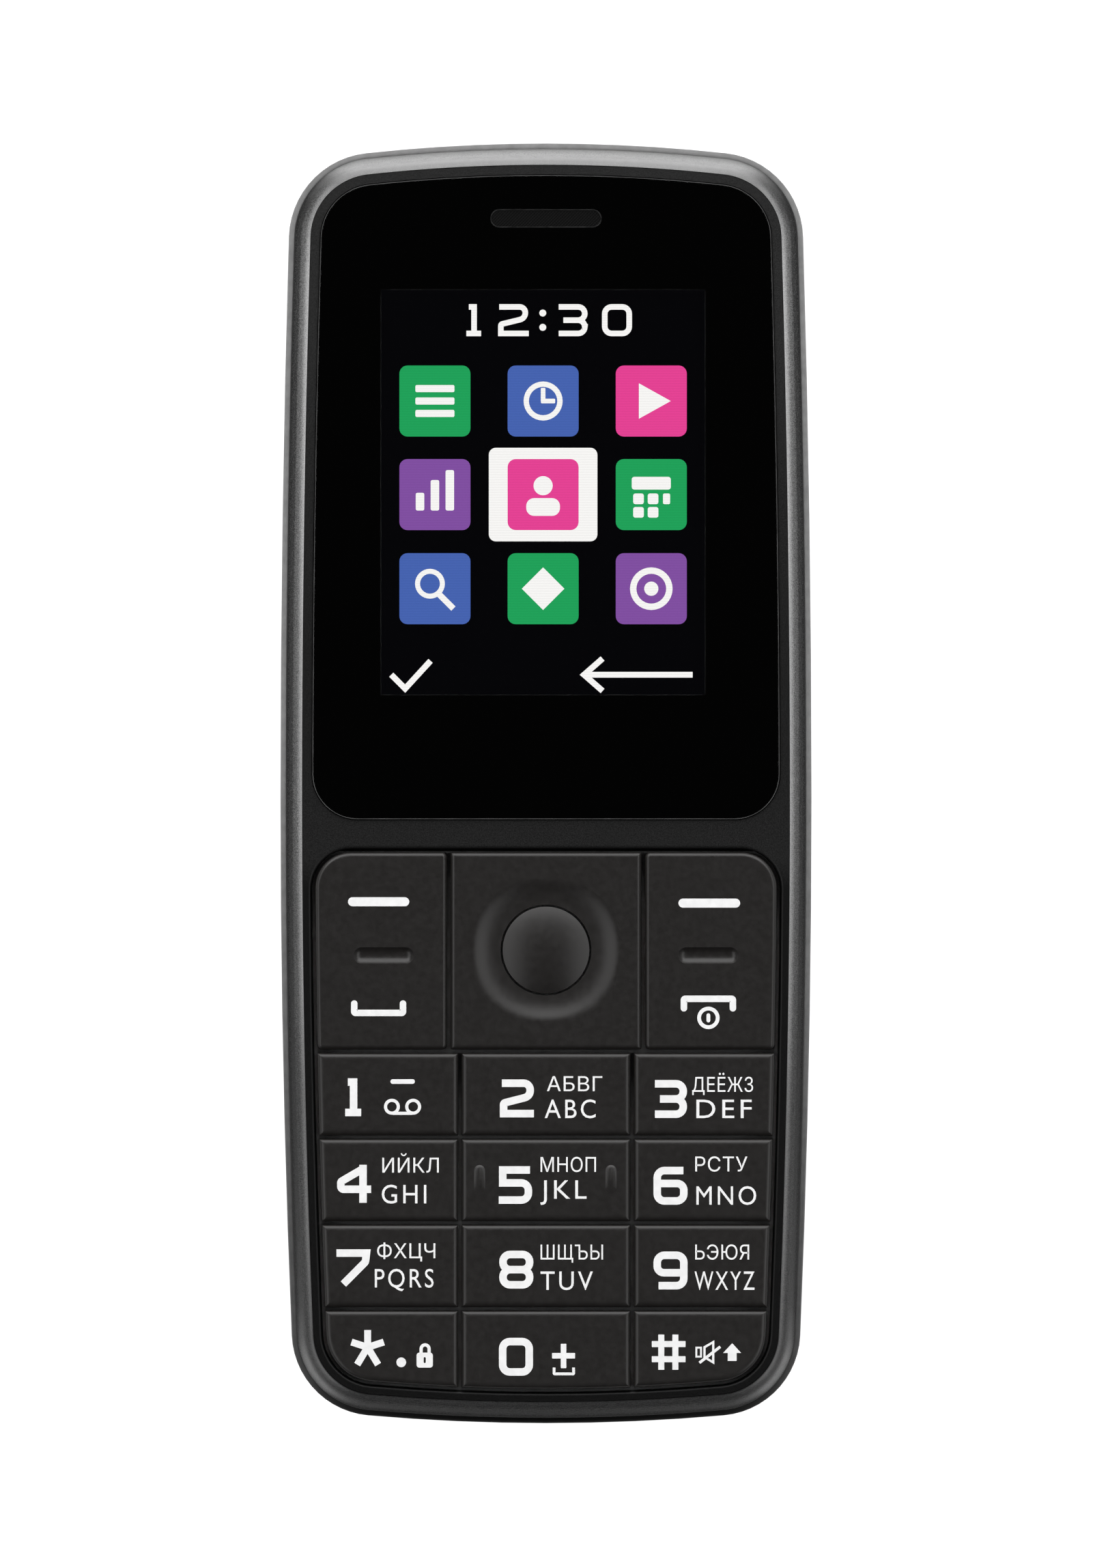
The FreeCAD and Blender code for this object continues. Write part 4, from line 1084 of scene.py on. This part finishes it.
# each digit as strokes through a box from -1 to 1; a third number makes a corner round
digitStrokes = {
    "1": [[(-0.55, 1), (-0.12, 1), (-0.12, -1)], [(-0.75, -1), (0.45, -1)]],
    "2": [[(-1.13, 1), (1, 1, 1), (1, 0.14, 1), (-1, -0.31, 0.3), (-1, -1), (1.28, -1)]],
    "3": [[(-1.13, 1), (1, 1, 1), (1, 0, 1), (-0.75, 0)],
          [(-0.75, 0), (1, 0, 1), (1, -1, 1), (-1.13, -1)]],
    "4": [[(0.67, 0.99), (-1, 0.14, 0.3), (-1, -0.36, 0.4), (1.28, -0.36)], [(0.67, 1.25), (0.67, -1.25)]],
    "5": [[(1.09, 1), (-0.96, 1), (-0.96, 0.15), (0.97, 0.15, 1), (0.97, -0.98, 1), (-1.26, -0.98)]],
    "6": [[(0.97, 1), (-1, 1, 1), (-1, -1, 1), (1, -1, 1), (1, 0.15, 1), (0, 0.15)],
          [(0.2, 0.15), (-1, 0.15)]],
    "7": [[(-1.26, 1), (1, 1), (0.92, 0.42, 0.5), (-0.74, -1.04)]],
    "8": [[(-1, 1, 1), (1, 1, 1), (1, 0, 1), (-1, 0, 1)], [(-1, 0, 1), (1, 0, 1), (1, -1, 1), (-1, -1, 1)]],
    "9": [[(-0.9, -1), (1, -1, 1), (1, 1, 1), (-1, 1, 1), (-1, -0.15, 1), (0, -0.15)],
          [(-0.2, -0.15), (1, -0.15)]],
    "0": [[(-1, 1, 1), (1, 1, 1), (1, -1, 1), (-1, -1, 1)]],
}
closedDigits = "80"
# where the middle of each digit lies, and the ends and foot of its two rows of letters
keyPrint = {
    "key_1": {"at": (-16.52, -27.17)},
    "key_2": {"at": (-2.52, -27.27), "small": ("АБВГ", 0.08, 4.88, -26.64),
              "large": ("ABC", -0.11, 4.3, -28.97)},
    "key_3": {"at": (10.73, -27.32), "small": ("ДЕЁЖЗ", 12.66, 17.93, -26.7),
              "large": ("DEF", 13.02, 17.81, -28.97)},
    "key_4": {"at": (-16.61, -34.66), "small": ("ИЙКЛ", -14.17, -9.28, -33.69),
              "large": ("GHI", -14.22, -10.36, -36.35)},
    "key_5": {"at": (-2.64, -34.78), "small": ("МНОП", -0.47, 4.33, -33.63),
              "large": ("JKL", -0.49, 3.51, -35.95)},
    "key_6": {"at": (10.78, -34.83), "small": ("РСТУ", 12.92, 17.44, -33.59),
              "large": ("MNO", 13.02, 18.2, -36.47)},
    "key_7": {"at": (-16.69, -41.97), "small": ("ФХЦЧ", -14.62, -9.58, -41.1),
              "large": ("PQRS", -14.82, -9.73, -43.63)},
    "key_8": {"at": (-2.57, -42.09), "small": ("ШЩЪЫ", -0.47, 4.94, -41.21),
              "large": ("TUV", -0.47, 4.06, -43.84)},
    "key_9": {"at": (10.78, -42.16), "small": ("ЬЭЮЯ", 12.92, 17.59, -41.21),
              "large": ("WXYZ", 12.86, 18.05, -43.84)},
    "key_0": {"at": (-2.6, -49.63)},
}


def digitLoops(digit, middle, look):
    # the strokes of a digit, each as its loops
    reachX = (look["digitWide"] - look["digitStroke"]) / 2
    reachY = (look["digitTall"] - look["digitStroke"]) / 2
    found = []
    for path in digitStrokes[digit]:
        placed = []
        for x, y, *turn in path:
            radius = [share * look["round"] for share in turn]
            placed.append((middle[0] + x * reachX, middle[1] + y * reachY, *radius))
        found.append(line(placed, look["digitStroke"], digit in closedDigits))
    return found


def stacked(loopSets, low, high):
    # slabs that overlap, each a hair higher than the one before
    return [slab(loops, low, high + printLook["overlap"] * index) for index, loops in enumerate(loopSets)]


def line(path, width, closed=False):
    return thickened(easedPath(path, closed), width, closed)


def roundBar(x, y, width, tall):
    return [pill(x, y, width, tall)]


def block(x, y, width, tall, corner):
    return [roundedBox(x, y, width, tall, corner, 2)]


def ray(x, y, turn, length, width):
    way = unit(math.radians(turn))
    return line([(x, y), (x + way.x * length, y + way.y * length)], width)


# signs beside the digits: places and sizes in millimetres
signPrint = {
    "key_1": [roundBar(-12.41, -25.81, 2.11, 0.4), hoop(-13.34, -27.99, 0.69, 0.27),
              hoop(-11.5, -27.99, 0.69, 0.27), roundBar(-12.42, -28.56, 1.84, 0.27)],
    "key_star": [ray(-15.44, -48.81, 90, 1.49, 0.59), ray(-15.44, -48.81, 18, 1.47, 0.59),
                 ray(-15.44, -48.81, 162, 1.47, 0.59), ray(-15.44, -48.81, -58.8, 1.75, 0.59),
                 ray(-15.44, -48.81, -121.2, 1.75, 0.59), [disc(-12.53, -50.11, 0.42)],
                 [roundedBox(-10.5, -49.92, 1.41, 1.3, 0.24, 5),
                  roundedBox(-10.5, -49.92, 0.18, 0.51, 0.08, 3)],
                 line([(-10.81, -49.35), (-10.81, -48.6, 0.35), (-10.12, -48.6, 0.35),
                       (-10.12, -49.35)], 0.28)],
    "key_0": [block(1.52, -49.56, 0.48, 2.11, 0.04), block(1.52, -49.54, 1.99, 0.48, 0.04),
              line([(0.7, -50.56), (0.7, -51.11, 0.05), (2.39, -51.11, 0.05), (2.39, -50.56)], 0.24)],
    "key_hash": [block(9.98, -49.23, 0.52, 3.05, 0.03), block(11.2, -49.23, 0.52, 3.05, 0.03),
                 block(10.62, -48.53, 2.92, 0.52, 0.03), block(10.62, -49.84, 2.92, 0.52, 0.03),
                 line([(13.02, -48.84), (13.42, -48.84), (13.42, -49.62), (13.02, -49.62)], 0.16, True),
                 line([(13.72, -48.8), (14.48, -48.36), (14.48, -50.12), (13.72, -49.66)], 0.19, True),
                 line([(13.28, -50.15), (15.09, -48.76)], 0.24),
                 polygon((16.12, -48.46), (15.33, -49.3), (16.9, -49.3)),
                 block(16.12, -49.6, 0.77, 0.78, 0.03)],
    "left_rocker": [roundBar(-14.49, -10.25, 5.3, 0.78),
                    line([(-16.6, -19.06), (-16.6, -19.87, 0.12), (-12.38, -19.87, 0.12),
                          (-12.38, -19.06)], 0.56),
                    [disc(-16.6, -19.06, 0.28)], [disc(-12.38, -19.06, 0.28)]],
    "right_rocker": [roundBar(14.14, -10.37, 5.34, 0.78),
                     line([(11.94, -19.47), (11.94, -18.65, 0.12), (16.18, -18.65, 0.12),
                           (16.18, -19.47)], 0.56),
                     [disc(11.94, -19.47, 0.28)], [disc(16.18, -19.47, 0.28)],
                     hoop(14.06, -20.3, 0.97, 0.33), roundBar(14.06, -20.3, 0.33, 0.78)],
}


def outlineLoops(mesh):
    # the closed outlines that a mesh of bare edges holds, each in its own direction
    following = {edge.vertices[0]: edge.vertices[1] for edge in mesh.edges}
    loops = []
    while following:
        first = here = next(iter(following))
        walk = []
        while here in following:
            walk.append(here)
            here = following.pop(here)
        if here == first and len(walk) > 2:
            loops.append([mesh.vertices[index].co.xy.copy() for index in walk])
    return loops


def holds(loop, spot):
    inside = False
    for a, b in zip(loop, loop[1:] + loop[:1]):
        if (a.y > spot.y) != (b.y > spot.y) and spot.x < a.x + (b.x - a.x) * (spot.y - a.y) / (b.y - a.y):
            inside = not inside
    return inside


def signedArea(loop):
    return sum(a.x * b.y - b.x * a.y for a, b in zip(loop, loop[1:] + loop[:1])) / 2


def letterParts(text, startX, endX, footY, look, low, high):
    # a row of letters, fitted between its two ends
    curve = bpy.data.curves.new("letters", "FONT")
    curve.body = text
    curve.resolution_u = 4
    curve.offset = look["weight"]
    curve.space_character = look["spacing"]
    curve.fill_mode = "NONE"
    holder = bpy.data.objects.new("letters", curve)
    bpy.context.scene.collection.objects.link(holder)
    bpy.context.view_layer.update()
    mesh = bpy.data.meshes.new_from_object(holder)
    bpy.data.objects.remove(holder)
    leftX = min(v.co.x for v in mesh.vertices)
    wide = max(v.co.x for v in mesh.vertices) - leftX
    scaleX = (endX - startX) / wide
    scaleY = look["tall"] / look["top"]
    loops = [[Vector((startX + (p.x - leftX) * scaleX, footY + p.y * scaleY)) for p in loop]
             for loop in outlineLoops(mesh)]
    bpy.data.meshes.remove(mesh)
    solidTurn = signedArea(max(loops, key=lambda loop: abs(signedArea(loop)))) > 0
    outers = [loop for loop in loops if (signedArea(loop) > 0) == solidTurn]
    holes = [loop for loop in loops if (signedArea(loop) > 0) != solidTurn]
    parts = []
    for index, loop in enumerate(outers):
        own = [hole for hole in holes if all(holds(loop, spot) for spot in hole)]
        parts.append(slab([loop, *own], low, high + printLook["letterOverlap"] * (index % 3)))
    return joined(parts)


def makeLegends():
    low = keyTopZ - printLook["sunk"]
    high = keyTopZ + printLook["proud"]
    for key in dict.fromkeys([*keyPrint, *signPrint]):
        look = keyPrint.get(key, {})
        parts = stacked(signPrint.get(key, []), low, high)
        if "at" in look:
            parts += stacked(digitLoops(key[-1], look["at"], printLook), low, high)
        for size, letters in letterLook.items():
            if size in look:
                parts.append(letterParts(*look[size], letters, low, high))
        addPiece(plainName(key) + "Print", joined(parts), "legendPrint", key)


makeLegends()
print("key print made")


# Camera: black print and a metal ring behind the round window, and a coated lens

cameraHigh = nodeBox("camera_window")[1]
cameraLook = {"y": 41.0, "mask": 3.2, "opening": 1.75, "maskThick": 0.05, "ring": 2.15, "ringThick": 0.3,
              "lens": 1.6, "lensZ": 2.5, "lensRise": 0.45, "lensEdge": 0.1, "rows": 10,
              "around": 72, "lensAround": 48}


def makeCameraLens():
    look = cameraLook
    y = look["y"]
    ringZ = cameraHigh.z + look["maskThick"]
    opening = disc(0, y, look["opening"], look["around"])
    mask = slab([disc(0, y, look["mask"], look["around"]), opening], cameraHigh.z, ringZ)
    addPiece("cameraPrint", mask, "windowPrint", "phone")
    ring = slab([disc(0, y, look["ring"], look["around"]), opening], ringZ, cameraHigh.z + look["ringThick"])
    addPiece("cameraRing", ring, "tinnedSteel", "phone")
    rows = []
    for step in range(1, look["rows"] + 1):
        share = step / look["rows"]
        z = look["lensZ"] - look["lensRise"] * math.sqrt(max(0.0, 1 - share * share))
        rows.append(atHeight(disc(0, y, look["lens"] * share, look["lensAround"]), z))
    rows.append(atHeight(disc(0, y, look["lens"], look["lensAround"]), look["lensZ"] + look["lensEdge"]))
    addPiece("cameraLens", solid(rows), "coatedLens", "phone")


makeCameraLens()
print("camera made")


# Battery: printed label with plus and minus signs, and its three gold contacts

batteryLow, batteryHigh = nodeBox("battery")
batteryLook = {"inset": 1.2, "corner": 1.0, "thick": 0.03, "sign": 2.2, "signStroke": 0.45, "signY": -5.0,
               "signThick": 0.012, "signCorner": 0.05, "overlap": 0.001,
               "contactWide": 1.6, "contactTall": 1.4,
               "contactPitch": 2.6, "contactThick": 0.04, "hold": 0.01}


def makeBattery():
    look = batteryLook
    middle = (batteryLow + batteryHigh) / 2
    width = batteryHigh.x - batteryLow.x - 2 * look["inset"]
    tall = batteryHigh.y - batteryLow.y - 2 * look["inset"]
    low = batteryLow.z - look["thick"]
    sheet = roundedBox(middle.x, middle.y, width, tall, look["corner"])
    addPiece("batteryLabel", slab([sheet], low, batteryLow.z + look["hold"]), "labelFilm", "battery")
    strokes = [(-1, look["sign"], look["signStroke"]), (-1, look["signStroke"], look["sign"]),
               (1, look["sign"], look["signStroke"])]
    signs = []
    signY = batteryHigh.y + look["signY"]
    for index, (side, wide, high) in enumerate(strokes):
        stroke = block(side * look["contactPitch"], signY, wide, high, look["signCorner"])
        signs.append(slab(stroke, low - look["signThick"] - look["overlap"] * index, low))
    addPiece("batterySigns", joined(signs), "legendPrint", "battery")
    parts = []
    for side in (-1, 0, 1):
        x = middle.x + side * look["contactPitch"]
        face = [Vector((x + wayX * look["contactWide"] / 2, middle.z + wayZ * look["contactTall"] / 2))
                for wayX, wayZ in ((-1, -1), (1, -1), (1, 1), (-1, 1))]
        points, faces = slab([face], batteryHigh.y - look["hold"], batteryHigh.y + look["contactThick"])
        parts.append(([(px, py, pz) for px, pz, py in points], faces))
    addPiece("batteryContacts", joined(parts), "antennaMetal", "battery")


makeBattery()
print("battery made")


# Clock and soft-key signs on the screen

clockLook = {"digitWide": 2.6, "digitTall": 2.78, "digitStroke": 0.48, "round": 0.6, "y": 40.1,
             "places": [("1", -6.1), ("2", -2.85), ("3", 2.3), ("0", 6.15)], "dotX": -0.28, "dotRise": 0.62,
             "dotRadius": 0.3, "signStroke": 0.5, "tick": [(-13.4, 9.4), (-12.2, 8.2), (-10.0, 10.6)],
             "arrowShaft": [(3.3, 9.4), (12.7, 9.4)], "arrowHead": [(4.9, 10.8), (3.3, 9.4), (4.9, 8.0)]}


def makeClock():
    look = clockLook
    loopSets = []
    for digit, x in look["places"]:
        loopSets += digitLoops(digit, (x, look["y"]), look)
    for side in (-1, 1):
        loopSets.append([disc(look["dotX"], look["y"] + side * look["dotRise"], look["dotRadius"])])
    loopSets += [line(look[sign], look["signStroke"]) for sign in ("tick", "arrowShaft", "arrowHead")]
    litSlab("screenClock", loopSets, "white", 1)


makeClock()
print("clock made")


# Studio: pale floor, soft lights and a camera straight above

studio = {
    "floorSide": 5.0,
    "floorDrop": 0.02,
    "floorTone": 148,
    "floorGlow": 0.93,
    "floorGloss": 0.8,
    # the sky's brightness by height, its share from the foot's side to the earpiece's, and its diffuse light
    "sky": [(0.0, 1.0), (0.06, 1.0), (0.25, 0.045), (0.7, 0.035), (1.0, 0.035)],
    "side": [(0.0, 0.12), (0.2, 0.2), (0.48, 1.0)],
    "fill": 0.15,
    "cameraHeight": 4.0,
    "cameraX": 0.694,
    "cameraY": -0.06,
    "frameHeight": 135.7,
    "sensor": 36.0,
    "clipNear": 0.1,
    "clipFar": 50.0,
}
lamps = [
    {"name": "lampTop", "turn": 90.0, "rise": 34.0, "far": 1.0, "wide": 1.6, "tall": 0.9, "watts": 13.0},
    {"name": "lampLeft", "turn": 180.0, "rise": 50.0, "far": 1.0, "wide": 1.6, "tall": 0.5, "watts": 4.0},
    {"name": "lampRight", "turn": 0.0, "rise": 50.0, "far": 1.0, "wide": 1.6, "tall": 0.5, "watts": 4.0},
]


def makeFloor():
    side = studio["floorSide"] / 2
    mesh = bpy.data.meshes.new("floor")
    low = -studio["floorDrop"] * mm
    corners = [(-side, -side, low), (side, -side, low), (side, side, low), (-side, side, low)]
    mesh.from_pydata(corners, [], [(0, 1, 2, 3)])
    floor = bpy.data.objects.new("floor", mesh)
    bpy.context.scene.collection.objects.link(floor)

    def build(place):
        glow = (studio["floorGlow"],) * 3 + (1.0,)
        return place.add("BsdfPrincipled", None, {
            "Base Color": grey(studio["floorTone"]),
            "Roughness": studio["floorGloss"],
            "Emission Color": blend(place, grey(0), glow, rays(place.add("LightPath"))),
            "Emission Strength": 1.0,
        })

    mesh.materials.append(finish("floorPaper", build))


def rays(path):
    # 1 for camera, mirror and glass rays
    outputs = path.socket.node.outputs
    seen = Wire(outputs["Is Camera Ray"]) + Wire(outputs["Is Glossy Ray"])
    seen = seen + Wire(outputs["Is Transmission Ray"])
    return seen.add("Clamp", None, {"Value": seen})


def makeWorld():
    world = bpy.data.worlds.new("studioWorld")
    bpy.context.scene.world = world
    world.use_nodes = True
    tree = world.node_tree
    tree.nodes.clear()
    place = Wire(tree.nodes.new("ShaderNodeTexCoord").outputs["Generated"])
    up = part(place, "Z")
    sky = up.add("ValToRGB", {"stops": studio["sky"]}, {"Fac": up})
    toTop = part(place, "Y") * 0.5 + 0.5
    side = toTop.add("ValToRGB", {"stops": studio["side"]}, {"Fac": toTop})
    seen = rays(place.add("LightPath"))
    shade = sky * side * seen + (1 - seen) * studio["fill"]
    background = shade.add("Background", None, {"Color": shade, "Strength": 1.0})
    place.add("OutputWorld", None, {"Surface": background})


def makeLamps():
    for look in lamps:
        turn = math.radians(look["turn"])
        rise = math.radians(look["rise"])
        way = Vector((math.cos(rise) * math.cos(turn), math.cos(rise) * math.sin(turn), math.sin(rise)))
        light = bpy.data.lights.new(look["name"], "AREA")
        light.shape = "RECTANGLE"
        light.size = look["wide"]
        light.size_y = look["tall"]
        light.energy = look["watts"]
        lamp = bpy.data.objects.new(look["name"], light)
        lamp.location = way * look["far"]
        lamp.rotation_euler = (-way).to_track_quat("-Z", "Y").to_euler()
        lamp.visible_camera = False
        bpy.context.scene.collection.objects.link(lamp)


def makeCamera():
    data = bpy.data.cameras.new("camera")
    data.sensor_width = studio["sensor"]
    data.lens = studio["sensor"] * studio["cameraHeight"] / (studio["frameHeight"] * mm)
    data.clip_start = studio["clipNear"]
    data.clip_end = studio["clipFar"]
    camera = bpy.data.objects.new("camera", data)
    camera.location = (studio["cameraX"] * mm, studio["cameraY"] * mm, keyTopZ * mm + studio["cameraHeight"])
    bpy.context.scene.collection.objects.link(camera)
    bpy.context.scene.camera = camera


makeFloor()
makeWorld()
makeLamps()
makeCamera()
bpy.context.scene.view_settings.view_transform = "Standard"
print("studio made")
